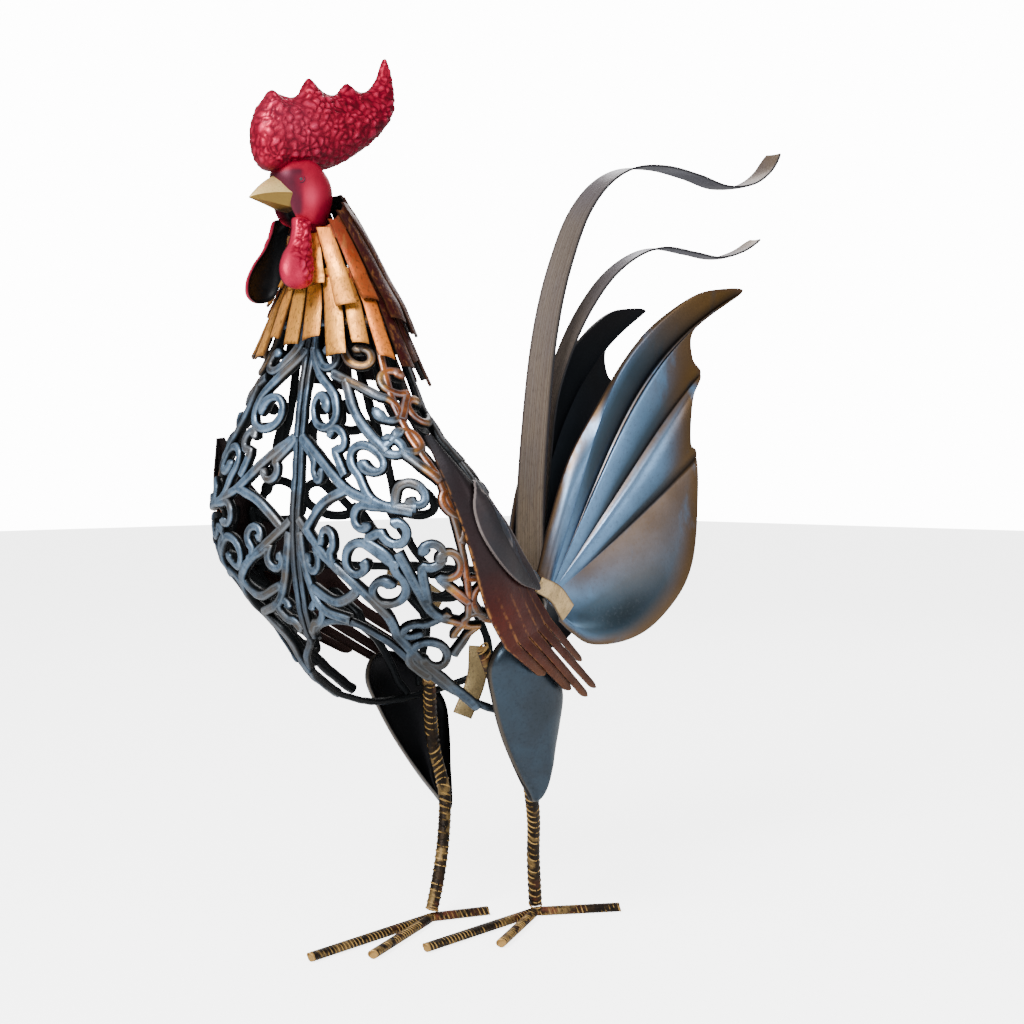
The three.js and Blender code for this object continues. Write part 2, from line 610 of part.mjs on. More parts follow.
// The covert plate lies over the upper back part of a wing.
const COVERT = [[-139, 279], [-145, 268], [-142, 254], [-133, 241], [-118, 229], [-99, 220.5], [-81, 217],
  [-69, 215.5], [-76, 226], [-93, 242], [-111, 258], [-127, 272]];
const COVERT_SPINE = [[-134, 268], [-124, 249], [-105, 234], [-83, 221]];
function covert(side) {
  const even = Array.from({ length: 49 }, (unused, k) => k / 48);
  const grid = wingGrid(48, even).flat();
  const height = ([y, z]) => grid.reduce((best, p) => {
    const d = hypot(p.y - y, p.z - z);
    return d < best[1] ? [p.x, d] : best;
  }, [0, Infinity])[0];
  const lift = (p) => V(height([p.y, p.z]) + p.x, p.y, p.z);
  const plate = pressed(COVERT, COVERT_SPINE, (f) => 2 + SHEET + 1.4 * f,
    (f) => 2 + 1.4 * f, [0, 0.8], lift);
  return side > 0 ? plate : mirrored(plate);
}
addPiece("wing_covert_left", covert(1), 0x3f3a3c, 0.5, 0.6);
addPiece("wing_covert_right", covert(-1), 0x3f3a3c, 0.5, 0.6);

// THE TAIL
// A leaf fans out from its root; each place is [distance back, height] in the leaf's own plane.
const LEAF_ROOT = [2, 200];
const LEAF_EDGE = [[11, 186], [18, 179], [31, 171], [51, 171], [72, 177], [94, 193], [111, 216], [118.5, 249],
  [120.5, 292], [113, 301], [112, 318], [115, 333], [123.5, 348], [114.5, 358], [113, 374],
  [128, 387], [159, 405],
  [140, 406], [115, 400], [82, 380], [58, 356], [35, 323], [15, 290], [2, 252], [-6, 218]];
const LEAF_CREASES = [8, 12, 16];    // edge points where a crease ends
const FAR_LEAF_TURN = 0.15;          // the right leaf is turned out less
const FAR_LEAF_DROP = 8;             // and sits lower
function leafHeight(position) {
  const stops = [0, ...LEAF_CREASES, LEAF_EDGE.length - 1];
  const k = max(0, stops.findIndex((s, i) => i + 1 < stops.length && position <= stops[i + 1]));
  const t = (position - stops[k]) / (stops[k + 1] - stops[k]);
  return sin(PI * t) * [1, 0.7, 0.6, 0.8][k];
}
// The flutes sweep back more and more towards the leaf's tip.
const leafSweep = (z) => LEAF_SWEEP * ((z - LEAF_ROOT[1]) / LEAF_HEIGHT) ** 5;
// A place of the leaf: along edge point k at the fraction r from its root, moved inwards by inset.
function leafPoint(k, r, inset, outward) {
  const [s, z] = LEAF_EDGE[k];
  const high = LEAF_ROOT[1] + (z - LEAF_ROOT[1]) * r;
  const back = LEAF_ROOT[0] + (s - leafSweep(z) - LEAF_ROOT[0]) * r + leafSweep(high);
  const flute = LEAF_BULGE * leafHeight(k) * r * sin(PI * 0.85 * r) ** 0.7;
  const out = flute + 6 * sin(PI * r * 0.9) - inset;
  const x = 13 + back * sin(outward) + out * cos(outward);
  const y = 16 + back * cos(outward) - out * sin(outward);
  return V(x, y, high);
}
function leaf(side, outward, drop) {
  const steps = [0.04, 0.35, 0.7, 1];
  const face = (inset) => steps.flatMap((r) => LEAF_EDGE.map((unused, k) => leafPoint(k, r, inset, outward)));
  const whole = slab(face(0), face(PRESSED), gridQuads(steps.length, LEAF_EDGE.length));
  whole.translate(0, 0, -drop);
  return side > 0 ? whole : mirrored(whole);
}
addPiece("tail_leaf_left", leaf(1, LEAF_TURN, 0), 0x7f97ad, 0.4, 0.8);
addPiece("tail_leaf_right", leaf(-1, FAR_LEAF_TURN, FAR_LEAF_DROP), 0x7f97ad, 0.4, 0.8);

// Two long ribbon feathers rise from the rump and wave back.
function ribbon(places, x, wide, narrow) {
  const run = smooth(places.map(([y, z]) => V(x, y, z)), 24);
  return bar(run, () => V(1, 0, 0), (t) => {
    const half = (wide + (narrow - wide) * t) / 2;
    return [[-half, -SHEET / 2], [half, -SHEET / 2], [half, SHEET / 2], [-half, SHEET / 2]];
  });
}
const SICKLE_LONG = [[17, 204], [16.6, 222], [17, 264], [21, 310], [28, 361], [36, 394], [46, 421], [62, 452],
  [83, 474], [108, 487], [142, 492], [178, 490], [211, 486], [241, 491], [261, 502], [275, 517]];
const SICKLE_SHORT = [
  [20.5, 204], [22, 225], [27, 277], [35, 329], [50, 363], [69, 391], [93, 415], [121, 431],
  [145, 437], [178, 436], [206, 435], [233, 442], [253, 452]];
addPiece("sickle_long", ribbon(SICKLE_LONG, 0, 26, 16), 0x8b7a69, 0.45, 0.75);
addPiece("sickle_short", ribbon(SICKLE_SHORT, 0, 15, 12), 0x827a78, 0.45, 0.75);

// One light feather lies on each side of the rump, and its cut end shows behind the wing.
function saddle(side) {
  const run = smooth([V(69, -46, 216), V(63, -26, 209), V(57, -9, 196.5)], 4);
  const whole = bar(run, () => V(0.2, 0.5, 0.8), (t) => {
    const half = 5 + 1.5 * t;
    return [[-half, -SHEET / 2], [half, -SHEET / 2], [half, SHEET / 2], [-half, SHEET / 2]];
  });
  return side > 0 ? whole : mirrored(whole);
}
addPiece("saddle_feather_left", saddle(1), 0xd8b071, 0.5, 0.5);
addPiece("saddle_feather_right", saddle(-1), 0xd8b071, 0.5, 0.5);

// THE LEGS
// A thigh is a pressed shell, open towards the belly.
const THIGH = [[-84, 176], [-77, 190], [-62, 193], [-48, 186], [-30, 170], [-21, 156], [-21, 138], [-24, 116],
  [-29, 88], [-38, 97], [-50, 112], [-64, 132], [-76, 154]];
const THIGH_SPINE = [[-58, 172], [-45, 148], [-33, 112]];
function thigh(side, drop, back, out) {
  const place = (p) => V(side * (p.x + out + (p.z - 90) * 0.2), p.y + back, p.z - drop);
  const inner = (f) => 13 * round(f);
  return pressed(THIGH, THIGH_SPINE, (f) => PRESSED + inner(f), inner, [0, 0.3, 0.75], place);
}
addPiece("thigh_left", thigh(1, 5.5, -6, 52.5), 0x586b7c, 0.4, 0.8);
addPiece("thigh_right", thigh(-1, 27, 20, 48), 0x586b7c, 0.4, 0.8);

const eightSides = (radius) => Array.from({ length: 8 }, (unused, k) => {
  const t = (k + 0.5) * PI / 4;
  return [radius * cos(t), radius * sin(t)];
});
const LEGS = {
  left: [
    V(33, -58, 176), V(35, -46, 148), V(43, -32, 108), V(40, -24, 88), V(33, -14, 66), V(25, -6, 40),
    V(20, 1, 8.4),
  ],
  right: [
    V(-33, -42, 152), V(-41, -31, 108), V(-37, -25, 76), V(-29, -33, 50), V(-22, -44, 26), V(-16, -55, 8.4),
  ],
};
for (const [name, places] of Object.entries(LEGS)) {
  const run = smooth(places, 10);
  const geometry = bar(run, () => V(1, 0, 0), () => eightSides(LEG_RADIUS));
  addPiece(`leg_${name}`, geometry, 0x57432c, 0.55, 0.6);
}

// Each foot is one straight bar forwards and one bent bar to the side and back.
const toeHeight = TOE_RADIUS * cos(PI / 8);
const FEET = {
  left: { centre: V(20, 1, toeHeight), front: [14, -106], side: [38, -68], back: [30, 46] },
  right: { centre: V(-16, -55, toeHeight), front: [18, -111], side: [39, -82], back: [13, 36] },
};
function toeBar(points, radius) {
  return bar(points, (i) => {
    const ahead = points[min(i + 1, points.length - 1)].clone().sub(points[max(i - 1, 0)]);
    return V(-ahead.y, ahead.x, 0);
  }, () => eightSides(radius));
}
for (const [name, foot] of Object.entries(FEET)) {
  const place = ([x, y]) => foot.centre.clone().add(V(x, y, 0));
  const bent = [foot.side, [0, 0], foot.back].map(place);
  const straight = [foot.front.map((v) => v * 0.01), foot.front].map(place);
  const mouth = toSolid(toeBar(bent, TOE_RADIUS + GAP));
  addPiece(`toe_bent_${name}`, toeBar(bent, TOE_RADIUS), 0x4d3c29, 0.55, 0.6);
  const frontToe = toSolid(toeBar(straight, TOE_RADIUS)).subtract(mouth);
  addPiece(`toe_front_${name}`, fromSolid(frontToe), 0x4d3c29, 0.55, 0.6);
}

// A flat strap hangs inside the belly beside the left leg.
addPiece("belly_strap", bar([V(19, -48, 176), V(19, -50, 156), V(17, -60, 134)], () => V(0.7, 0.7, 0),
  () => [[-6, -1], [6, -1], [6, 1], [-6, 1]]), 0x8a6c3e, 0.5, 0.6);

// The origin is the middle of the bounding box's foot.
const bounds = new THREE.Box3().setFromObject(group);
group.position.set(-(bounds.min.x + bounds.max.x) / 2, -(bounds.min.y + bounds.max.y) / 2, -bounds.min.z);
group.updateMatrixWorld(true);

export default group;
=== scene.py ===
"""A standing rooster made of cut, pressed and bent metal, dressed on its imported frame."""
import math

import bmesh
import bpy
import numpy as np
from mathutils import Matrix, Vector, noise


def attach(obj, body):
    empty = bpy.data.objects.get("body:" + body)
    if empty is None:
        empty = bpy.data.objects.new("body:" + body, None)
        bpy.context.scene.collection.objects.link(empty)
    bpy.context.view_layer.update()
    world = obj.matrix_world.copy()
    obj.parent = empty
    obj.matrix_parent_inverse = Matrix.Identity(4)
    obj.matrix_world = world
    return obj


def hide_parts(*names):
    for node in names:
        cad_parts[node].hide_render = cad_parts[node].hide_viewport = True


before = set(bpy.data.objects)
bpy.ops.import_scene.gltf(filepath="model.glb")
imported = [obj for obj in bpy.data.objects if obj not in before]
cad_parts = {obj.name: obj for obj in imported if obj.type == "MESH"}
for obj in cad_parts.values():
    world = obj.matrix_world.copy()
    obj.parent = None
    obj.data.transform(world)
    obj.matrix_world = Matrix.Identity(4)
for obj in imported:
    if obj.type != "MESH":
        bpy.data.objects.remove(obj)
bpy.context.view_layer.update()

bl_info = {
    "name": "Scrap metal rooster",
    "version": (1, 0, 0),
    "blender": (4, 5, 0),
    "location": "3D View > Sidebar > Rooster",
    "description": "Builds the pieces of a metal rooster sculpture and their finishes",
    "category": "Add Mesh",
}

# Shapes are worked out in millimetres, in the drawing's own axes: the bird faces -Y and its left is +X.
# The frame's origin is the middle of the foot of the whole bird's box, which lies this far back.
FRAME_SHIFT = 34.51
TAU = 2 * math.pi
SEAM_HALF = 2.2
GAP = 0.3


# CURVES AND TABLES
def column(rows, index, at):
    """Value of one column of a table whose first column is the height."""
    table = np.asarray(rows, float)
    return np.interp(at, table[:, 0], table[:, index])


def smooth(points, count):
    """Evenly spaced places on a rounded curve through the points."""
    p = np.asarray(points, float)
    p = np.vstack([2 * p[0] - p[1], p, 2 * p[-1] - p[-2]])
    out = []
    for a, b, c, d in zip(p[:-3], p[1:-2], p[2:-1], p[3:]):
        t1 = max(np.linalg.norm(b - a), 1e-6) ** 0.5
        t2 = t1 + max(np.linalg.norm(c - b), 1e-6) ** 0.5
        t3 = t2 + max(np.linalg.norm(d - c), 1e-6) ** 0.5
        t = np.linspace(t1, t2, 24, endpoint=False)[:, None]
        a1 = (t1 - t) / t1 * a + t / t1 * b
        a2 = (t2 - t) / (t2 - t1) * b + (t - t1) / (t2 - t1) * c
        a3 = (t3 - t) / (t3 - t2) * c + (t - t2) / (t3 - t2) * d
        b1 = (t2 - t) / t2 * a1 + t / t2 * a2
        b2 = (t3 - t) / (t3 - t1) * a2 + (t - t1) / (t3 - t1) * a3
        out.append((t2 - t) / (t2 - t1) * b1 + (t - t1) / (t2 - t1) * b2)
    out = np.vstack(out + [p[-2][None]])
    run = np.concatenate([[0], np.cumsum(np.linalg.norm(np.diff(out, axis=0), axis=1))])
    at = np.linspace(0, run[-1], count + 1)
    return np.stack([np.interp(at, run, out[:, k]) for k in range(out.shape[1])], 1)


def ring_of(points, count):
    """Evenly spaced places on a rounded closed curve through the points."""
    p = [list(q) for q in points]
    wrapped = smooth(p[-3:] + p + p[:3], 40 * (len(p) + 6))
    start = np.argmin(np.linalg.norm(wrapped[: len(wrapped) // 2] - p[0], axis=1))
    rest = wrapped[start + len(wrapped) // 3:]
    end = start + len(wrapped) // 3 + np.argmin(np.linalg.norm(rest - p[0], axis=1))
    loop = wrapped[start:end + 1]
    run = np.concatenate([[0], np.cumsum(np.linalg.norm(np.diff(loop, axis=0), axis=1))])
    at = np.linspace(0, run[-1], count, endpoint=False)
    return np.stack([np.interp(at, run, loop[:, k]) for k in range(loop.shape[1])], 1)


def fade(low, high, value):
    """0 below low, 1 above high, and a soft step between them."""
    t = np.clip((np.asarray(value, float) - low) / (high - low), 0, 1)
    return t * t * (3 - 2 * t)


# THE BODY SURFACE
# Each row: height, half width, front, widest place and back along Y, squareness of breast and back.
BODY = [
    [130, 35, -75, -50, -25, 2.0, 1.6], [137, 54, -100, -60, -10, 2.0, 1.6],
    [148, 60, -128, -70, 0, 2.0, 1.6],
    [160, 62, -146, -76, 6, 2.0, 1.6], [176, 64, -162, -82, 10, 2.0, 1.6], [192, 72, -172, -90, 12, 2.0, 1.6],
    [204, 90, -176, -98, 10, 2.1, 1.5], [216, 98, -178, -110, 4, 2.3, 1.4],
    [230, 104, -180, -122, -6, 2.6, 1.3],
    [245, 106, -181, -129, -22, 2.8, 1.3], [262, 105, -181, -135, -42, 2.8, 1.35],
    [280, 99, -179, -140, -62, 2.8, 1.4], [301, 81, -178, -145, -87, 2.8, 1.45],
    [320, 67, -176, -146, -101, 2.7, 1.5], [338, 57, -173, -145, -109, 2.5, 1.6],
    [356, 48, -169, -144, -115, 2.3, 1.7], [372, 41, -166, -144, -119, 2.1, 1.8],
]
# Rows of the neck, in the same columns.
NECK = [
    [325, 70, -180, -146, -96, 2.5, 1.6], [345, 58, -176.5, -146, -105, 2.3, 1.7],
    [360, 50, -173.5, -146, -112, 2.2, 1.8], [378, 41, -170, -146, -118, 2.1, 1.9],
    [394, 29.5, -167, -146.5, -124, 2.0, 2.0], [410, 23.5, -169, -150, -129, 2.0, 2.0],
    [424, 20.5, -173, -156, -136, 2.0, 2.0], [436, 18, -180, -161, -143, 2.0, 2.0],
    [446, 16.5, -180, -163, -147.5, 2.0, 2.0],
]
CREASE = 7


def section_point(rows, around, height, grow=0.0):
    """Points of the left half of a section: around is 0 in front, 1 at the side and 2 at the back."""
    around, height, grow = np.broadcast_arrays(np.asarray(around, float), np.asarray(height, float), grow)
    a, front, wide, back, square, taper = (column(rows, c, height) for c in range(1, 7))
    turn = around * math.pi / 2
    c, s = np.cos(turn), np.maximum(np.sin(turn), 0)
    power = np.where(around <= 1, square, taper)
    reach = (np.abs(c) ** power + s ** power) ** (-1 / power)
    depth = np.where(around <= 1, wide - front, back - wide) + grow
    return np.stack([(a + grow) * s * reach, wide - depth * c * reach, height * np.ones_like(a)], -1)


def body_point(around, height):
    p = section_point(BODY, around, height)
    a = column(BODY, 1, height)
    dent = CREASE * np.exp(-((p[..., 0] / (0.3 * a)) ** 2))
    p[..., 1] += np.where(np.asarray(around) <= 1, dent, 0)
    return p


def body_normal(around, height):
    u = np.clip(around, 0.02, 1.98)
    along = body_point(u + 0.02, height) - body_point(u - 0.02, height)
    up = body_point(u, height + 3) - body_point(u, height - 3)
    n = np.cross(along, up)
    return n / np.linalg.norm(n, axis=-1, keepdims=True)


def body_scale(around, height):
    """How many millimetres one unit of around and of height measure at a place on the body."""
    u = min(max(around, 0.06), 1.94)
    across = np.linalg.norm(body_point(u + 0.05, height) - body_point(u - 0.05, height)) / 0.1
    up = np.linalg.norm(body_point(u, height + 4) - body_point(u, height - 4)) / 8
    return across, max(1, up)


def whole_point(rows, turn, height, grow=0.0):
    """Points of a whole ring: turn is 0 in front and goes round by the left side."""
    whole = (np.asarray(turn, float) / math.pi * 2 + 8) % 4
    p = section_point(rows, np.where(whole <= 2, whole, 4 - whole), height, grow)
    p[..., 0] *= np.where(whole > 2, -1, 1)
    return p


def neck_point(turn, height, grow=0.0):
    return whole_point(NECK, turn, height, grow)


# MESHES
class Shapes:
    """Gathers closed shapes with values on their points, and turns them into one object."""

    def __init__(self):
        self.points, self.faces, self.values, self.count = [], [], {}, 0

    def add(self, points, faces, **values):
        points = np.asarray(points, float).reshape(-1, 3)
        for name in set(self.values) | set(values):
            held = self.values.setdefault(name, [np.zeros(self.count)])
            held.append(np.broadcast_to(np.asarray(values.get(name, 0.0), float).reshape(-1), len(points)))
        self.faces += [[i + self.count for i in f] for f in faces]
        self.points.append(points)
        self.count += len(points)

    def sheet(self, outer, inner, closed=False, **values):
        """A sheet between two grids of points alike in shape; closed joins the last column to the first."""
        rows, columns = outer.shape[:2]
        n = rows * columns
        quads, rim = [], []
        span = columns if closed else columns - 1
        for r in range(rows - 1):
            for c in range(span):
                d = (c + 1) % columns
                q = [r * columns + c, r * columns + d, (r + 1) * columns + d, (r + 1) * columns + c]
                quads += [q, [i + n for i in reversed(q)]]
        for r in (0, rows - 1):
            rim += [(r * columns + c, r * columns + (c + 1) % columns, r == 0) for c in range(span)]
        if not closed:
            for c in (0, columns - 1):
                rim += [(r * columns + c, (r + 1) * columns + c, c != 0) for r in range(rows - 1)]
        for a, b, flip in rim:
            q = [a, b, b + n, a + n]
            quads.append(q[::-1] if flip else q)
        both = {k: np.concatenate([np.broadcast_to(v, (rows, columns)).ravel()] * 2) for k,
                v in values.items()}
        both["inner"] = np.concatenate([np.zeros(n), np.ones(n)])
        self.add(np.concatenate([outer.reshape(-1, 3), inner.reshape(-1, 3)]), quads, **both)

    def tube(self, rings, **values):
        """A closed body through rings of equal count, with a flat face at each end."""
        rings = np.asarray(rings, float)
        rows, count = rings.shape[:2]
        faces = [[r * count + i, r * count + (i + 1) % count, (r + 1) * count + (i + 1) % count,
                  (r + 1) * count + i] for r in range(rows - 1) for i in range(count)]
        faces += [list(range(count))[::-1], [(rows - 1) * count + i for i in range(count)]]
        self.add(rings, faces, **{k: np.broadcast_to(v, (rows, count)).ravel() for k, v in values.items()})

    def build(self, name, merge=0.01):
        mesh = bpy.data.meshes.new(name)
        mesh.from_pydata(to_frame(np.concatenate(self.points)), [], self.faces)
        for key, parts in self.values.items():
            layer = mesh.attributes.new(key, "FLOAT", "POINT")
            layer.data.foreach_set("value", np.concatenate(parts).astype(np.float32))
        bm = bmesh.new()
        bm.from_mesh(mesh)
        bmesh.ops.remove_doubles(bm, verts=bm.verts, dist=merge * 0.001)
        bmesh.ops.dissolve_degenerate(bm, edges=bm.edges, dist=1e-7)
        bmesh.ops.recalc_face_normals(bm, faces=bm.faces)
        bm.to_mesh(mesh)
        bm.free()
        obj = bpy.data.objects.new(name, mesh)
        bpy.context.scene.collection.objects.link(obj)
        return obj


def to_frame(points):
    return (np.asarray(points, float) + [0, -FRAME_SHIFT, 0]) * 0.001


def from_frame(mesh):
    co = np.empty(len(mesh.vertices) * 3)
    mesh.vertices.foreach_get("co", co)
    return co.reshape(-1, 3) * 1000 + [0, FRAME_SHIFT, 0]


def point_normals(mesh):
    n = np.empty(len(mesh.vertices) * 3)
    mesh.vertex_normals.foreach_get("vector", n)
    return n.reshape(-1, 3)


def set_value(mesh, name, values):
    layer = mesh.attributes.get(name) or mesh.attributes.new(name, "FLOAT", "POINT")
    layer.data.foreach_set("value", np.asarray(values, np.float32))


def get_value(mesh, name, width=1):
    values = np.empty(len(mesh.vertices) * width)
    mesh.attributes[name].data.foreach_get("value" if width == 1 else "vector", values)
    return values.reshape(-1, width) if width > 1 else values


def relief(mesh, height):
    """Moves each point along its normal by height(point, normal) millimetres; keeps the height as a value."""
    points, normals = from_frame(mesh), point_normals(mesh)
    rise = height(points, normals)
    mesh.vertices.foreach_set("co", to_frame(points + normals * rise[:, None]).ravel())
    mesh.update()
    return rise


def finish(obj, material, nodes, sharp=40):
    """Shading, material and the facts that the frame needs."""
    obj.data.shade_smooth()
    obj.data.set_sharp_from_angle(angle=math.radians(sharp))
    obj.data.materials.clear()
    obj.data.materials.append(material)
    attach(obj, "root")
    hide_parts(*nodes)
    return obj


def take_modifiers(obj):
    """Turns the object with its modifiers into a plain mesh."""
    graph = bpy.context.evaluated_depsgraph_get()
    mesh = bpy.data.meshes.new_from_object(obj.evaluated_get(graph))
    obj.modifiers.clear()
    old = obj.data
    obj.data = mesh
    bpy.data.meshes.remove(old)
    return mesh


# GEOMETRY NODES
class Tree:
    """Short form for building a node tree."""

    def __init__(self, tree):
        self.tree = tree

    def socket(self, name, kind, side="INPUT", value=None):
        made = self.tree.interface.new_socket(name, in_out=side, socket_type=kind)
        if value is not None:
            made.default_value = value
        return made

    def node(self, kind, inputs=None, **settings):
        made = self.tree.nodes.new(kind)
        for key, value in settings.items():
            setattr(made, key, value)
        for key, value in (inputs or {}).items():
            if isinstance(value, bpy.types.Node):
                value = value.outputs[0]
            if isinstance(value, bpy.types.NodeSocket):
                self.tree.links.new(value, made.inputs[key])
            else:
                made.inputs[key].default_value = value
        return made


def length_input(tree, name, value):
    made = tree.socket(name, "NodeSocketFloat", value=value)
    made.subtype = "DISTANCE"
    return made


def bar_tree():
    """Sweeps a flat bar with rounded edges along paths whose points carry a normal and a size."""
    t = Tree(bpy.data.node_groups.new("Bar along path", "GeometryNodeTree"))
    t.socket("Geometry", "NodeSocketGeometry")
    t.socket("Geometry", "NodeSocketGeometry", "OUTPUT")
    length_input(t, "Bar width", 0.0074)
    length_input(t, "Bar depth", 0.006)
    length_input(t, "Edge radius", 0.0012)
    t.socket("Material", "NodeSocketMaterial")
    group = t.node("NodeGroupInput")
    normal = t.node("GeometryNodeInputNamedAttribute", {"Name": "bar_normal"}, data_type="FLOAT_VECTOR")
    size = t.node("GeometryNodeInputNamedAttribute", {"Name": "bar_size"}, data_type="FLOAT")
    path = t.node("GeometryNodeMeshToCurve", {0: group.outputs["Geometry"]})
    path = t.node("GeometryNodeSetCurveNormal", {"Curve": path, "Normal": normal}, mode="FREE")
    section = t.node("GeometryNodeCurvePrimitiveQuadrilateral",
                     {"Width": group.outputs["Bar depth"], "Height": group.outputs["Bar width"]})
    section = t.node("GeometryNodeFilletCurve",
                     {"Curve": section, "Count": 2, "Radius": group.outputs["Edge radius"],
                      "Limit Radius": True},
                     mode="POLY")
    bars = t.node("GeometryNodeCurveToMesh",
                  {"Curve": path, "Profile Curve": section, "Scale": size, "Fill Caps": True})
    real = t.node("GeometryNodeRealizeInstances", {0: bars})
    dressed = t.node("GeometryNodeSetMaterial", {"Geometry": real, "Material": group.outputs["Material"]})
    t.node("NodeGroupOutput", {0: dressed})
    return t.tree


def ribbed_tree():
    """Ribbed reinforcing bar along a path: a round core and slanted ribs."""
    t = Tree(bpy.data.node_groups.new("Ribbed bar", "GeometryNodeTree"))
    t.socket("Geometry", "NodeSocketGeometry")
    t.socket("Geometry", "NodeSocketGeometry", "OUTPUT")
    length_input(t, "Core radius", 0.0041)
    length_input(t, "Rib height", 0.0006)
    length_input(t, "Rib pitch", 0.0042)
    t.socket("Rib tilt", "NodeSocketFloat", value=0.5).subtype = "ANGLE"
    t.socket("Material", "NodeSocketMaterial")
    group = t.node("NodeGroupInput")
    core, rib, pitch = (group.outputs[k] for k in ("Core radius", "Rib height", "Rib pitch"))
    path = t.node("GeometryNodeMeshToCurve", {0: group.outputs["Geometry"]})
    circle = t.node("GeometryNodeCurvePrimitiveCircle", {"Resolution": 14, "Radius": core})
    rod = t.node("GeometryNodeCurveToMesh", {"Curve": path, "Profile Curve": circle, "Fill Caps": True})
    ring = t.node("GeometryNodeCurvePrimitiveCircle", {"Resolution": 14, "Radius": core})
    bead = t.node("GeometryNodeCurvePrimitiveCircle", {"Resolution": 5, "Radius": rib})
    ring = t.node("GeometryNodeCurveToMesh", {"Curve": ring, "Profile Curve": bead})
    spots = t.node("GeometryNodeResampleCurve", {"Curve": path, "Length": pitch}, mode="LENGTH")
    tangent = t.node("GeometryNodeInputTangent")
    turn = t.node("FunctionNodeAlignRotationToVector", {"Vector": tangent}, axis="Z")
    tilt = t.node("FunctionNodeEulerToRotation", {0: (0.0, 0.0, 0.0)})
    angle = t.node("ShaderNodeCombineXYZ", {"X": group.outputs["Rib tilt"]})
    t.tree.links.new(angle.outputs[0], tilt.inputs[0])
    turn = t.node("FunctionNodeRotateRotation", {"Rotation": turn, "Rotate By": tilt}, rotation_space="LOCAL")
    ribs = t.node("GeometryNodeInstanceOnPoints", {"Points": spots, "Instance": ring, "Rotation": turn})
    ribs = t.node("GeometryNodeRealizeInstances", {0: ribs})
    ribs = t.node("GeometryNodeStoreNamedAttribute", {"Geometry": ribs, "Name": "rib", "Value": 1.0},
                  data_type="FLOAT", domain="POINT")
    whole = t.node("GeometryNodeJoinGeometry")
    t.tree.links.new(rod.outputs[0], whole.inputs[0])
    t.tree.links.new(ribs.outputs[0], whole.inputs[0])
    real = t.node("GeometryNodeRealizeInstances", {0: whole})
    dressed = t.node("GeometryNodeSetMaterial", {"Geometry": real, "Material": group.outputs["Material"]})
    t.node("NodeGroupOutput", {0: dressed})
    return t.tree


def paths_object(name, paths, values):
    """Loose paths as one object; values gives, for each path, its values by point."""
    points, edges, held = [], [], {}
    for path, own in zip(paths, values):
        edges += [(len(points) + i, len(points) + i + 1) for i in range(len(path) - 1)]
        points += list(path)
        for key, value in own.items():
            held.setdefault(key, []).extend(np.asarray(value, float).tolist())
    mesh = bpy.data.meshes.new(name)
    mesh.from_pydata(to_frame(points), edges, [])
    for key, value in held.items():
        vector = np.ndim(value) > 1
        layer = mesh.attributes.new(key, "FLOAT_VECTOR" if vector else "FLOAT", "POINT")
        layer.data.foreach_set("vector" if vector else "value", np.asarray(value, np.float32).ravel())
    obj = bpy.data.objects.new(name, mesh)
    bpy.context.scene.collection.objects.link(obj)
    return obj


def run_tree(obj, tree, **inputs):
    """Runs a tree on the object and keeps the result as a plain mesh."""
    modifier = obj.modifiers.new("build", "NODES")
    modifier.node_group = tree
    for item in tree.interface.items_tree:
        key = item.name.lower().replace(" ", "_")
        if item.item_type == "SOCKET" and item.in_out == "INPUT" and key in inputs:
            modifier[item.identifier] = inputs[key]
    mesh = take_modifiers(obj)
    bm = bmesh.new()
    bm.from_mesh(mesh)
    bmesh.ops.recalc_face_normals(bm, faces=bm.faces)
    bm.to_mesh(mesh)
    bm.free()
    return mesh


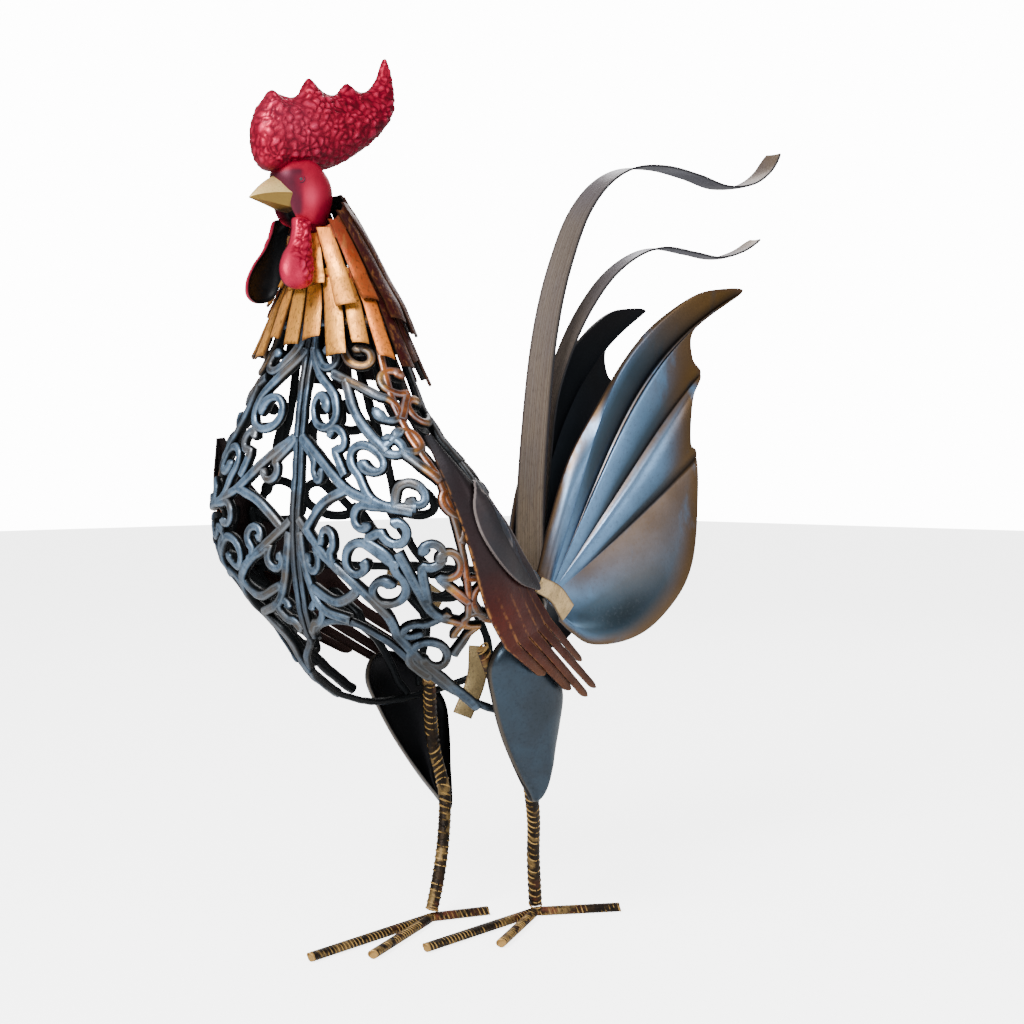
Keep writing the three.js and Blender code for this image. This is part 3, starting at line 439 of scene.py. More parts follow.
# SHADERS
def aged_group():
    """Aged paint over metal: two colours in blotches, dark specks, and a height for bumps."""
    found = bpy.data.node_groups.get("Aged paint")
    if found:
        return found
    t = Tree(bpy.data.node_groups.new("Aged paint", "ShaderNodeTree"))
    for name, value in (("Base", (0.5, 0.5, 0.5, 1)), ("Second", (0.3, 0.3, 0.3, 1)),
                        ("Dark", (0.02, 0.02, 0.02, 1))):
        t.socket(name, "NodeSocketColor", value=value)
    for name, value in (("Blotch scale", 60.0), ("Blotch amount", 1.0), ("Speck scale", 700.0),
                        ("Speck amount", 0.4)):
        t.socket(name, "NodeSocketFloat", value=value)
    t.socket("Stretch", "NodeSocketVector", value=(1.0, 1.0, 1.0))
    t.socket("Color", "NodeSocketColor", "OUTPUT")
    t.socket("Rough", "NodeSocketFloat", "OUTPUT")
    t.socket("Height", "NodeSocketFloat", "OUTPUT")
    group = t.node("NodeGroupInput")
    place = t.node("ShaderNodeTexCoord")
    spot = t.node("ShaderNodeVectorMath", {0: place.outputs["Object"], 1: group.outputs["Stretch"]},
                  operation="MULTIPLY")
    blotch = t.node("ShaderNodeTexNoise",
                    {"Vector": spot, "Scale": group.outputs["Blotch scale"], "Detail": 6.0,
                                           "Roughness": 0.62})
    soft = t.node("ShaderNodeMapRange", {"Value": blotch.outputs["Fac"], "From Min": 0.4, "From Max": 0.62})
    amount = t.node("ShaderNodeMath", {0: soft.outputs[0], 1: group.outputs["Blotch amount"]},
                    operation="MULTIPLY")
    first = t.node("ShaderNodeMix", {"Factor": amount}, data_type="RGBA")
    for key, name in ((6, "Base"), (7, "Second")):
        t.tree.links.new(group.outputs[name], first.inputs[key])
    speck = t.node("ShaderNodeTexNoise",
                   {"Vector": spot, "Scale": group.outputs["Speck scale"], "Detail": 4.0,
                                          "Roughness": 0.7})
    sharp = t.node("ShaderNodeMapRange", {"Value": speck.outputs["Fac"], "From Min": 0.52, "From Max": 0.68})
    worn = t.node("ShaderNodeMath", {0: sharp.outputs[0], 1: group.outputs["Speck amount"]},
                  operation="MULTIPLY")
    second = t.node("ShaderNodeMix", {"Factor": worn}, data_type="RGBA")
    t.tree.links.new(first.outputs[2], second.inputs[6])
    t.tree.links.new(group.outputs["Dark"], second.inputs[7])
    rough = t.node("ShaderNodeMapRange", {"Value": blotch.outputs["Fac"], "From Min": 0.3, "From Max": 0.7,
                                          "To Min": -0.1, "To Max": 0.12})
    out = t.node("NodeGroupOutput")
    t.tree.links.new(second.outputs[2], out.inputs["Color"])
    t.tree.links.new(rough.outputs[0], out.inputs["Rough"])
    t.tree.links.new(speck.outputs["Fac"], out.inputs["Height"])
    return t.tree


class Finish:
    """A material with its shader, aged paint and helpers for values kept on the mesh."""

    def __init__(self, name, roughness=0.45, metallic=0.5, coat=0.0, bump=0.15, **aged):
        self.material = bpy.data.materials.get(name) or bpy.data.materials.new(name)
        self.material.use_nodes = True
        self.material.node_tree.nodes.clear()
        self.t = Tree(self.material.node_tree)
        self.shader = self.t.node("ShaderNodeBsdfPrincipled", {"Metallic": metallic, "Coat Weight": coat,
                                                               "Coat Roughness": 0.25,
                                                               "Specular IOR Level": 0.16})
        self.aged = self.t.node("ShaderNodeGroup", node_tree=aged_group())
        for key, value in aged.items():
            self.aged.inputs[key.replace("_", " ").capitalize()].default_value = value
        rough = self.t.node("ShaderNodeMath", {0: self.aged.outputs["Rough"], 1: roughness}, operation="ADD")
        lift = self.t.node("ShaderNodeBump", {"Height": self.aged.outputs["Height"], "Strength": bump,
                                              "Distance": 0.0006})
        self.lift = lift
        self.link(rough.outputs[0], self.shader.inputs["Roughness"])
        self.link(lift.outputs[0], self.shader.inputs["Normal"])
        out = self.t.node("ShaderNodeOutputMaterial", {"Surface": self.shader})
        out.is_active_output = True
        self.color = self.aged.outputs["Color"]

    def link(self, a, b):
        self.t.tree.links.new(a, b)

    def value(self, name):
        return self.t.node("ShaderNodeAttribute", attribute_name=name).outputs["Fac"]

    def span(self, socket, low, high, to_low=0.0, to_high=1.0):
        return self.t.node("ShaderNodeMapRange", {"Value": socket, "From Min": low, "From Max": high,
                                                  "To Min": to_low, "To Max": to_high},
                           interpolation_type="SMOOTHSTEP").outputs[0]

    def product(self, a, b):
        return self.t.node("ShaderNodeMath", {0: a, 1: b}, operation="MULTIPLY").outputs[0]

    def noise(self, scale, stretch=(1, 1, 1), detail=4.0, low=0.4, high=0.6):
        place = self.t.node("ShaderNodeTexCoord").outputs["Object"]
        spot = self.t.node("ShaderNodeVectorMath", {0: place, 1: stretch}, operation="MULTIPLY")
        fac = self.t.node("ShaderNodeTexNoise", {"Vector": spot, "Scale": scale, "Detail": detail})
        return self.span(fac.outputs["Fac"], low, high)

    def mix(self, fac, color, over=None):
        """Lays a colour over what there is so far, by a mask."""
        made = self.t.node("ShaderNodeMix", data_type="RGBA")
        for key, value in ((0, fac), (6, over or self.color), (7, color)):
            if isinstance(value, bpy.types.NodeSocket):
                self.link(value, made.inputs[key])
            else:
                made.inputs[key].default_value = value
        self.color = made.outputs[2]
        return self

    def ramp(self, fac, stops):
        made = self.t.node("ShaderNodeValToRGB", {"Fac": fac})
        band = made.color_ramp
        while len(band.elements) < len(stops):
            band.elements.new(0.5)
        for element, (place, color) in zip(band.elements, stops):
            element.position = place
            element.color = color
        return made.outputs["Color"]

    def base(self, name, color):
        """Feeds a colour made from values on the mesh into the aged paint."""
        self.link(color, self.aged.inputs[name])
        return self

    def done(self):
        self.link(self.color, self.shader.inputs["Base Color"])
        return self.material


BLACK = (0.006, 0.006, 0.007, 1)


def comb_finish(name="comb_red", colors=None):
    tint = colors or bpy.context.scene.rooster.comb
    f = Finish(name, 0.4, 0.5, coat=0.0, bump=0.25, second=(0.22, 0.003, 0.018, 1),
               dark=(0.08, 0.0, 0.008, 1),
               blotch_scale=55.0, blotch_amount=0.45, speck_scale=500.0, speck_amount=0.25)
    # Painted shade and highlight: by the relief value the grooves between the grains are darkened and the
    # tops of the grains lightened to pink; the wattles share this.
    f.base("Base", f.ramp(f.value("relief"), [
        (0.0, (0.07, 0.0, 0.006, 1)), (0.35, (0.26, 0.002, 0.020, 1)), (0.7, (*tint, 1)),
        (1.0, (0.68, 0.040, 0.115, 1))]))
    # Painted highlight: a pink pool of light on the front of the comb, halfway up.
    f.mix(f.product(f.value("glow"), 0.16), (0.85, 0.09, 0.19, 1))
    # Painted shade: darker along the comb's lower edge, more towards the back.
    f.mix(f.product(f.value("dusk"), 0.7), (0.07, 0.0, 0.008, 1))
    f.mix(f.value("soot"), (0.012, 0.01, 0.018, 1))
    f.mix(f.value("inner"), BLACK)
    return f.done()


def head_finish():
    f = Finish("head_red", 0.42, 0.45, bump=0.12, second=(0.24, 0.003, 0.018, 1), dark=(0.08, 0.0, 0.008, 1),
               base=(0.38, 0.006, 0.032, 1), blotch_scale=45.0, blotch_amount=0.6, speck_scale=300.0,
               speck_amount=0.2)
    # Painted highlight: pink on the cheeks and along the lower front edge of the head.
    f.mix(f.product(f.value("cheek"), 0.6), (0.68, 0.045, 0.11, 1))
    # Dark paint of the eyes, darker round the beak's root, the eye and the throat, and painted shade under
    # the chin.
    f.mix(f.value("soot"), (0.014, 0.012, 0.022, 1))
    f.mix(f.value("inner"), BLACK)
    # Painted reflection: a lighter grey glint on the outward cap of each dark eye.
    f.mix(f.value("pupil"), (0.05, 0.05, 0.06, 1))
    return f.done()


def beak_finish():
    f = Finish("beak_gold", 0.4, 0.7, bump=0.25, second=(0.62, 0.40, 0.15, 1), dark=(0.22, 0.13, 0.04, 1),
               base=(*bpy.context.scene.rooster.beak, 1), blotch_scale=120.0, blotch_amount=0.6,
               speck_scale=900.0,
               speck_amount=0.35)
    # Painted shade: the lower half of the beak, which faces down, is darker.
    f.mix(f.value("lower"), (0.24, 0.15, 0.04, 1))
    f.mix(f.value("soot"), (0.03, 0.022, 0.02, 1))
    return f.done()


def hackle_finish():
    f = Finish("hackle_gold", 0.4, 0.65, bump=0.35, dark=(0.09, 0.035, 0.012, 1), blotch_scale=70.0,
               blotch_amount=0.55, speck_scale=650.0, speck_amount=0.85, stretch=(1.0, 1.0, 0.45))
    # Gold in front to dark red-brown behind, by the warmth value; it also carries painted shade on the upper
    # parts of the strips on the left side.
    f.base("Base", f.ramp(f.value("warmth"), [
        (0.0, (*bpy.context.scene.rooster.hackle, 1)), (0.3, (0.92, 0.26, 0.035, 1)),
        (0.55, (0.34, 0.05, 0.012, 1)),
        (0.8, (0.05, 0.008, 0.008, 1))]))
    f.base("Second", f.ramp(f.value("warmth"), [
        (0.0, (0.66, 0.26, 0.045, 1)), (0.3, (0.50, 0.10, 0.016, 1)), (0.55, (0.20, 0.03, 0.012, 1)),
        (0.8, (0.035, 0.008, 0.012, 1))]))
    f.mix(f.product(f.noise(260.0, (1.6, 1.6, 0.10), low=0.52, high=0.68), 0.45), (0.30, 0.12, 0.035, 1))
    f.mix(f.value("rim"), (0.06, 0.024, 0.010, 1))
    f.mix(f.product(f.value("inner"), 0.95), BLACK)
    return f.done()


def scroll_finish():
    f = Finish("scroll_blue", 0.38, 0.65, bump=0.35, dark=(0.010, 0.013, 0.017, 1), blotch_scale=60.0,
               blotch_amount=0.95,
               speck_scale=420.0, speck_amount=0.55)
    warm = f.value("warm")
    f.base("Base",
           f.ramp(warm, [(0.0, (*bpy.context.scene.rooster.scrolls, 1)), (0.5, (0.13, 0.09, 0.055, 1)),
                                 (0.75, (0.50, 0.24, 0.05, 1)), (1.0, (0.46, 0.14, 0.035, 1))]))
    f.base("Second", f.ramp(warm, [(0.0, (0.025, 0.042, 0.068, 1)), (0.5, (0.035, 0.025, 0.018, 1)),
                                   (0.75, (0.16, 0.06, 0.014, 1)), (1.0, (0.10, 0.028, 0.010, 1))]))
    bronze = f.noise(32.0, detail=6.0, low=0.50, high=0.62)
    f.mix(f.product(bronze, 0.75), (0.105, 0.075, 0.045, 1))
    # Painted highlight: a pale blue-grey band along the rounded edges of the bars.
    edge = f.product(f.span(f.value("top"), 0.6, 0.8), f.span(f.value("top"), 0.99, 0.9))
    f.mix(f.product(edge, 0.3), (0.30, 0.36, 0.42, 1))
    # Painted shade: the body darkens towards the bottom and away from the front.
    f.mix(f.product(f.value("body_shade"), 0.75), (0.020, 0.022, 0.022, 1))
    f.mix(f.product(f.value("seam"), 0.6), (0.028, 0.036, 0.048, 1))
    f.mix(f.span(f.value("top"), 0.86, 0.3), (0.005, 0.006, 0.007, 1))
    return f.done()


def wing_finish():
    f = Finish("wing_brown", 0.42, 0.6, bump=0.2, dark=(0.012, 0.008, 0.008, 1), blotch_scale=45.0,
               blotch_amount=0.5,
               speck_scale=500.0, speck_amount=0.35)
    down = f.value("down")
    f.base("Base", f.ramp(down, [(0.0, (0.018, 0.018, 0.021, 1)), (0.36, (0.028, 0.016, 0.017, 1)),
                                 (0.5, (*bpy.context.scene.rooster.wing, 1)),
                                 (0.72, (0.080, 0.017, 0.008, 1)),
                                 (1.0, (0.105, 0.036, 0.012, 1))]))
    f.base("Second", f.ramp(down, [(0.0, (0.010, 0.010, 0.012, 1)), (0.5, (0.035, 0.007, 0.006, 1)),
                                   (1.0, (0.045, 0.014, 0.006, 1))]))
    worn = f.product(f.noise(300.0, detail=3.0, low=0.35, high=0.6), f.span(down, 0.85, 0.45, 0.2, 1.0))
    f.mix(f.product(f.value("rim"), worn), (0.42, 0.18, 0.05, 1))
    f.mix(f.product(f.value("inner"), 0.92), (0.012, 0.007, 0.007, 1))
    return f.done()


def covert_finish():
    f = Finish("covert_charcoal", 0.42, 0.35, bump=0.15, base=(0.026, 0.024, 0.028, 1),
               second=(0.038, 0.027, 0.028, 1),
               dark=(0.015, 0.014, 0.016, 1), blotch_scale=35.0, blotch_amount=0.7, speck_scale=600.0,
               speck_amount=0.3)
    f.mix(f.product(f.value("rim"), 0.7), (0.24, 0.20, 0.19, 1))
    f.mix(f.value("line"), (0.30, 0.26, 0.24, 1))
    return f.done()


def leaf_finish():
    f = Finish("tail_blue", 0.4, 0.85, bump=0.12, dark=(0.06, 0.07, 0.085, 1), blotch_scale=18.0,
               blotch_amount=0.6,
               speck_scale=420.0, speck_amount=0.3)
    # Painted shade: the blue darkens in the lobe of the first panel and along the valleys.
    f.base("Base",
           f.ramp(f.value("dusk"), [(0.0, (*bpy.context.scene.rooster.tail, 1)), (0.5, (0.05, 0.08, 0.11, 1)),
                                            (1.0, (0.010, 0.018, 0.024, 1))]))
    f.base("Second",
           f.ramp(f.value("dusk"), [(0.0, (0.075, 0.125, 0.18, 1)), (1.0, (0.018, 0.025, 0.03, 1))]))
    f.mix(f.product(f.value("bronze"), f.noise(60.0, (1, 1, 0.5), low=0.2, high=0.45)),
          (0.12, 0.066, 0.022, 1))
    # Painted shade: a near-black line along each valley between the flutes.
    f.mix(f.value("groove"), (0.006, 0.006, 0.008, 1))
    f.mix(f.value("rim"), (0.10, 0.055, 0.03, 1))
    f.mix(f.product(f.value("inner"), 0.96), (0.010, 0.012, 0.016, 1))
    return f.done()


def ribbon_finish():
    f = Finish("ribbon_bronze", 0.46, 0.7, bump=0.2, dark=(0.06, 0.05, 0.045, 1), blotch_scale=40.0,
               blotch_amount=0.6, speck_scale=800.0, speck_amount=0.4, stretch=(1.0, 0.6, 0.3))
    f.base("Base",
           f.ramp(f.value("along"),
                  [(0.0, (*bpy.context.scene.rooster.ribbon, 1)), (0.5, (0.25, 0.21, 0.185, 1)),
                                             (0.75, (0.21, 0.22, 0.30, 1)), (1.0, (0.27, 0.19, 0.12, 1))]))
    f.base("Second",
           f.ramp(f.value("along"), [(0.0, (0.19, 0.165, 0.155, 1)), (1.0, (0.12, 0.12, 0.165, 1))]))
    lines = f.t.node("ShaderNodeTexNoise", {"W": f.value("across"), "Scale": 34.0, "Detail": 5.0},
                     noise_dimensions="1D")
    f.mix(f.product(f.span(lines.outputs["Fac"], 0.45, 0.62), 0.6), (0.09, 0.05, 0.028, 1))
    f.mix(f.value("rim"), (0.05, 0.045, 0.045, 1))
    f.mix(f.product(f.value("inner"), 0.75), (0.03, 0.033, 0.045, 1))
    return f.done()


def thigh_finish():
    f = Finish("thigh_slate", 0.34, 0.85, bump=0.12, base=(*bpy.context.scene.rooster.thigh, 1),
               second=(0.035, 0.042, 0.05, 1), dark=(0.012, 0.015, 0.018, 1), blotch_scale=30.0,
               blotch_amount=0.7,
               speck_scale=500.0, speck_amount=0.3)
    f.mix(f.value("rim"), (0.08, 0.065, 0.05, 1))
    f.mix(f.value("inner"), BLACK)
    return f.done()


def bar_finish():
    f = Finish("bar_dark", 0.45, 0.7, bump=0.5, base=(0.012, 0.009, 0.007, 1),
               second=(0.035, 0.022, 0.012, 1),
               dark=(0.003, 0.003, 0.003, 1), blotch_scale=160.0, blotch_amount=0.8, speck_scale=900.0,
               speck_amount=0.5)
    f.mix(f.product(f.noise(90.0, detail=8.0, low=0.54, high=0.62), 0.6), (0.26, 0.165, 0.06, 1))
    f.mix(f.product(f.value("rib"), f.noise(120.0, low=0.42, high=0.56)), (0.44, 0.27, 0.085, 1))
    f.mix(f.product(f.value("weld"), f.noise(110.0, low=0.45, high=0.65)), (0.15, 0.045, 0.024, 1))
    f.mix(f.value("cut"), (0.42, 0.25, 0.08, 1))
    return f.done()


def strap_finish(name="strap_brass", base=(0.34, 0.25, 0.12, 1)):
    f = Finish(name, 0.4, 0.65, bump=0.3, base=base, second=tuple(v * 0.55 for v in base[:3]) + (1,),
               dark=(0.05, 0.03, 0.015, 1), blotch_scale=90.0, blotch_amount=0.8, speck_scale=700.0,
               speck_amount=0.5)
    f.mix(f.value("rim"), (0.10, 0.06, 0.03, 1))
    return f.done()


# THE OPENWORK BODY
# Scrolls of the breast: centre, radius, start angle, turns, hand of winding, and the stem that leads to it.
BREAST_SCROLLS = [
    ((0.22, 319), 14, 35, 1.2, -1, [(0.03, 354), (0.16, 342)]),
    ((0.44, 289), 13, 215, 1.15, -1, [(0.58, 262), (0.42, 267)]),
    ((0.37, 257), 9, 60, 0.8, 1, [(0.6, 264)]),
    ((0.5, 252), 9, 190, 0.85, 1, [(0.38, 247)]),
    ((0.34, 234), 12, 45, 0.95, 1, [(0.5, 232)]),
    ((0.45, 219), 13, 60, 1.1, -1, [(0.37, 246), (0.46, 238)]),
    ((0.68, 178), 14, 215, 1.15, -1, [(0.63, 166)]),
    ((0.3, 348), 8, 200, 0.9, 1, [(0.08, 368), (0.12, 354)]),
    ((0.58, 348), 8, 200, 0.9, 1, [(0.4, 368), (0.42, 354)]),
    ((0.66, 316), 10, 90, 0.85, -1, [(0.33, 338), (0.5, 331)]),
    ((0.1, 233), 8, 60, 0.9, -1, [(0.24, 232)]),
    ((0.15, 283), 7, 120, 0.8, 1, [(0.02, 303)]),
    ((0.3, 303), 8, 250, 0.85, 1, [(0.3, 281)]),
    ((0.6, 298), 8, 210, 0.85, 1, [(0.72, 306)]),
    ((0.6, 270), 9, 150, 0.9, -1, [(0.5, 264)]),
    ((0.64, 240), 9, 240, 0.9, 1, [(0.62, 212)]),
    ((0.19, 246), 8, 300, 0.85, 1, [(0.22, 232)]),
    ((0.6, 194), 8, 60, 0.9, 1, [(0.72, 206)]),
    ((0.1, 205), 8, 250, 0.85, 1, [(0.04, 192)]),
]
BREAST_BARS = [
    [(0.42, 334), (0.46, 312), (0.55, 294)],
    [(0.02, 304), (0.16, 292), (0.31, 273), (0.42, 267)],
    [(0.31, 274), (0.18, 266), (0.06, 250)],
    [(0.02, 256), (0.2, 235), (0.34, 220), (0.48, 201), (0.61, 178), (0.7, 163), (0.8, 146)],
    [(0.03, 249), (0.07, 222), (0.14, 207), (0.3, 201)],
    [(0.25, 230), (0.33, 219), (0.24, 211), (0.09, 218)],
    [(0.5, 240), (0.58, 220), (0.66, 205), (0.8, 199)],
]
RIGHT_BARS = [[(0.3, 201), (0.2, 184), (0.25, 166)], [(0.48, 201), (0.42, 176), (0.5, 147)]]
RIM_LEFT = [(0, 188), (0.1, 196), (0.27, 200), (0.45, 191), (0.6, 172), (0.7, 158), (0.85, 146), (1.1, 139),
            (1.4, 141), (1.7, 150), (2, 166)]
RIM_RIGHT = [(0, 188), (0.25, 166), (0.4, 152), (0.55, 143), (0.75, 138), (1.1, 137), (1.4, 141), (1.7, 150),
             (2, 166)]
STEM_TOP, STEM_WAVE = 366, 92
BACK_COLUMNS, BACK_ROWS, BACK_SHARE = (1.12, 1.43, 1.74), (318, 268, 214), 0.14
AROUND_UNIT = 90
SCROLL_WIDTH = 6.2


def winding(at, radius, start, turns, hand, stem=(), steps=26, inner=0.34):
    across, up = body_scale(*at)
    t = np.linspace(0, 1, steps + 1)
    angle = np.radians(start + hand * 360 * turns * t)
    r = radius * (1 - (1 - inner) * t)
    spiral = np.stack([at[0] + r * np.cos(angle) / across, at[1] + r * np.sin(angle) / up], 1)
    return [tuple(p) for p in stem] + [tuple(p) for p in spiral]


def stem_around(around, swing, height):
    return around - swing * np.sin((STEM_TOP - height) / STEM_WAVE * math.pi)


def stem_bar(around, swing, foot):
    heights = np.linspace(STEM_TOP, foot, 9)
    return [(stem_around(around, swing, h), h) for h in heights]


def body_bars(side):
    """Every bar of one half: its places, its width and whether it ends in a bud."""
    line = np.linspace(0, 1, 9)
    seam = lambda around, foot: [(around, 368 + (foot - 368) * k) for k in line]
    bars = [([(2 * k, 368) for k in line], 6, False), (RIM_LEFT if side > 0 else RIM_RIGHT, 4.4, False),
            (seam(0, 188), 2 * SEAM_HALF, False), (seam(2, 166), 2 * SEAM_HALF, False)]
    bars += [(places, SCROLL_WIDTH, False) for places in BREAST_BARS]
    bars += [(winding(*spec), SCROLL_WIDTH, True) for spec in BREAST_SCROLLS]
    bars.append((stem_bar(0.79, 0.03, 190), 5, False))
    for k in range(5):
        height, hand = 334 - 33 * k, 1 if k % 2 else -1
        foot = height - 23.1
        bars.append((winding((0.79 - 0.07 * hand, height), 10, 270 - hand * 30, 0.85, hand,
                             [(stem_around(0.79, 0.03, foot), foot)]), SCROLL_WIDTH, True))
    for c, around in enumerate(BACK_COLUMNS):
        swing = 0.1 if c % 2 else -0.1
        for r, height in enumerate(BACK_ROWS):
            hand = 1 if (r + c) % 2 else -1
            across = body_scale(around, height)[0]
            radius = max(9, BACK_SHARE * across)
            foot = height - 30
            root = stem_around(around, swing, foot)
            bars.append((winding((root + hand * radius / across, height), radius, 270 - hand * 60, 0.9, hand,
                                 [(root, foot)]), SCROLL_WIDTH, True))
        bars.append((stem_bar(around, swing, 140 + 5 * c), 5, False))
    bars.append(([(0.8, 226), (1.4, 222), (1.98, 218)], 5, False))
    if side < 0:
        bars += [(places, SCROLL_WIDTH, False) for places in RIGHT_BARS]
        bars.append((winding((0.42, 172), 9, 250, 0.9, 1, [(0.5, 147)]), SCROLL_WIDTH, True))
    return bars


def body_half(side, name, settings, tree, material):
    paths, values = [], []
    for places, width, bud in body_bars(side):
        flat = [(u * AROUND_UNIT, z) for u, z in places]
        length = np.linalg.norm(np.diff(np.asarray(flat), axis=0), axis=1).sum()
        run = smooth(flat, max(12, int(length / 1.6)))
        around, height = np.clip(run[:, 0] / AROUND_UNIT, 0, 2), run[:, 1]
        path, normal = body_point(around, height), body_normal(around, height)
        path[:, 0] = np.maximum(path[:, 0], width / 2 + 2 * GAP)
        t = np.linspace(0, 1, len(path))
        size = np.full(len(path), width / SCROLL_WIDTH)
        if bud:
            size *= 1 - 0.22 * t + 0.42 * fade(0.86, 0.95, t)
            size *= 1 - 0.45 * fade(0.975, 1.0, t)
        paths.append(path * [side, 1, 1])
        values.append({"bar_normal": normal * [side, 1, 1], "bar_size": size, "around": around,
                       "seam": np.full(len(path), float(width == 2 * SEAM_HALF))})
    obj = paths_object(name, paths, values)
    mesh = run_tree(obj, tree, bar_width=settings.scroll_width * 0.001,
                    bar_depth=settings.scroll_depth * 0.001,
                    edge_radius=settings.scroll_edge * 0.001, material=material)
    top = (point_normals(mesh) * get_value(mesh, "bar_normal", 3)).sum(1)
    height, around = from_frame(mesh)[:, 2], get_value(mesh, "around")
    collar = 0.75 * fade(314, 342, height) * fade(0.26, 0.5, around)
    flank = fade(0.66, 0.76, around) * fade(170, 205, height)
    rear = fade(0.98, 1.1, around)
    set_value(mesh, "top", top)
    set_value(mesh, "warm", np.maximum(collar, flank) * (1 - rear) + 0.42 * rear)
    # Painted shade: darker towards the bottom and away from the front, but not on the copper flank.
    set_value(mesh, "body_shade",
              np.clip(0.55 * fade(300, 190, height) + 0.35 * fade(0.25, 0.6, around), 0, 1) * (1 - flank))
    relief(mesh, lambda p, n: np.array([0.35 * noise.noise(Vector(q * 0.16)) for q in p]))
    return finish(obj, material, [name], 50)


# PRESSED PLATES
def nearest_on(line, points):
    best, far = np.zeros_like(points), np.full(len(points), np.inf)
    for a, b in zip(np.asarray(line[:-1], float), np.asarray(line[1:], float)):
        t = np.clip(((points - a) @ (b - a)) / ((b - a) @ (b - a)), 0, 1)
        spot = a + t[:, None] * (b - a)
        gap = np.linalg.norm(spot - points, axis=1)
        better = gap < far
        best[better], far[better] = spot[better], gap[better]
    return best


def dome(f):
    return np.sqrt(np.maximum(0, 1 - (1 - f) ** 2))


def pressed(shapes, outline, spine, far, near, place, around=180, rings=24, **values):
    """A plate pressed about a spine, between the heights far(f) and near(f) at the fraction f inwards."""
    edge = ring_of(outline, around)
    to = nearest_on(smooth(spine, 60), edge)
    steps = 0.975 * (1 - np.cos(np.linspace(0, math.pi / 2, rings)))
    grid = lambda x, f: np.concatenate([np.full((len(edge), 1), x(f)), edge + (to - edge) * f], 1)
    back = [grid(near, f) for f in steps[::-1]]
    front = [grid(far, f) for f in steps]
    inward = np.concatenate([steps[::-1], steps])[:, None] * np.ones(len(edge))
    inner = np.concatenate([np.ones(rings), np.zeros(rings)])[:, None] * np.ones(len(edge))
    points = place(np.array(back + front).reshape(-1, 3)).reshape(2 * rings, len(edge), 3)
    shapes.tube(points, inward=inward, inner=inner, **values)


GRAIN_SEED = 7  # without one, the noise starts from the clock and the grains move at every run


def pebbles(points, size, warp=0.5):
    """Rounded grains, a little longer than wide, from 0 in the groove between them to 1 on a grain."""
    noise.seed_set(GRAIN_SEED)
    out = np.empty(len(points))
    slope = 0.6
    y, z = points[:, 1], points[:, 2]
    turned = np.stack([points[:, 0], (y * math.cos(slope) + z * math.sin(slope)) / 1.35,
                       z * math.cos(slope) - y * math.sin(slope)], 1)
    for i, p in enumerate(turned):
        q = Vector(p) / size
        q += noise.noise_vector(q * 0.7) * warp
        near = noise.voronoi(q)[0]
        out[i] = min(1.0, (near[1] - near[0]) * 1.5 + 0.25 * noise.noise(q * 1.7))
    return np.clip(out, 0, 1) ** 0.8


def even_mesh(obj, voxel):
    modifier = obj.modifiers.new("even", "REMESH")
    modifier.mode = "VOXEL"
    modifier.voxel_size = voxel * 0.001
    return take_modifiers(obj)


# THE HEAD
COMB = [(-194, 452), (-200, 457), (-202.5, 465), (-203, 473), (-201.5, 481.5), (-198, 489), (-194, 494),
        (-191, 497.5), (-187.5, 496), (-177.5, 495), (-171, 498), (-168, 503.5), (-164.5, 508),
        (-160.5, 505.5),
        (-156, 502), (-149.5, 500.5), (-143.5, 502), (-139.5, 506.5), (-136.5, 509), (-132.5, 507),
        (-127.5, 505.5),
        (-121.5, 506.5), (-116, 511), (-112, 517.5), (-109.5, 524), (-107.3, 528.2), (-105.5, 526),
        (-103.3, 520),
        (-101.5, 513), (-101.3, 505.5), (-103.8, 495.5), (-110, 485.5), (-118.5, 477), (-130, 468.5),
        (-141, 462),
        (-151, 457.5), (-160, 455.5), (-176, 455.5)]
COMB_SPINE = [(-190, 473), (-172, 476), (-150, 480), (-128, 486), (-113, 495), (-107, 508)]
COMB_HALF, COMB_THIN = 12, (488, 512, 0.36)
# Rows of the head, in the same columns as those of the body.
HEAD = [(404, 9, -164, -158, -150, 2, 2), (420, 9.5, -167, -160, -150, 2, 2),
        (424.5, 12, -180, -168, -153, 2, 2),
        (428, 13.2, -183.5, -169.5, -153, 2.1, 2), (434, 14.2, -186.5, -170, -151.5, 2.1, 2),
        (443, 15, -188.5, -169.5, -150.5, 2.1, 2), (450, 14.2, -189.5, -170, -153.5, 2.1, 2),
        (456, 11.5, -188, -171, -157.5, 2, 2), (461, 6, -182, -172, -163, 2, 2)]
EYE = (12, -179.8, 447.6)
BEAK_ROOT, BEAK_TIP, BEAK_HALF = (-180, 451.5), (-206.5, 436.4), 10.8
WATTLE = [(-182, 426), (-184, 419), (-187.5, 411), (-193, 404), (-196.5, 396), (-195.5, 389), (-190, 385.5),
          (-182, 386), (-176.5, 390), (-174.5, 397), (-174, 406), (-173.5, 416), (-173, 425)]
WATTLE_SPINE = [(-178, 420), (-180, 410), (-184, 400), (-185, 395)]
WATTLE_TOP, WATTLE_OUT, WATTLE_LEAN, WATTLE_BULGE = 426, 7, 0.22, 7
PRESSED, SHEET = 1.8, 1.4


def near_spot(points, spot, radius):
    return np.exp(-(np.linalg.norm((points - spot) * [1, 1, 1], axis=1) / radius) ** 2)


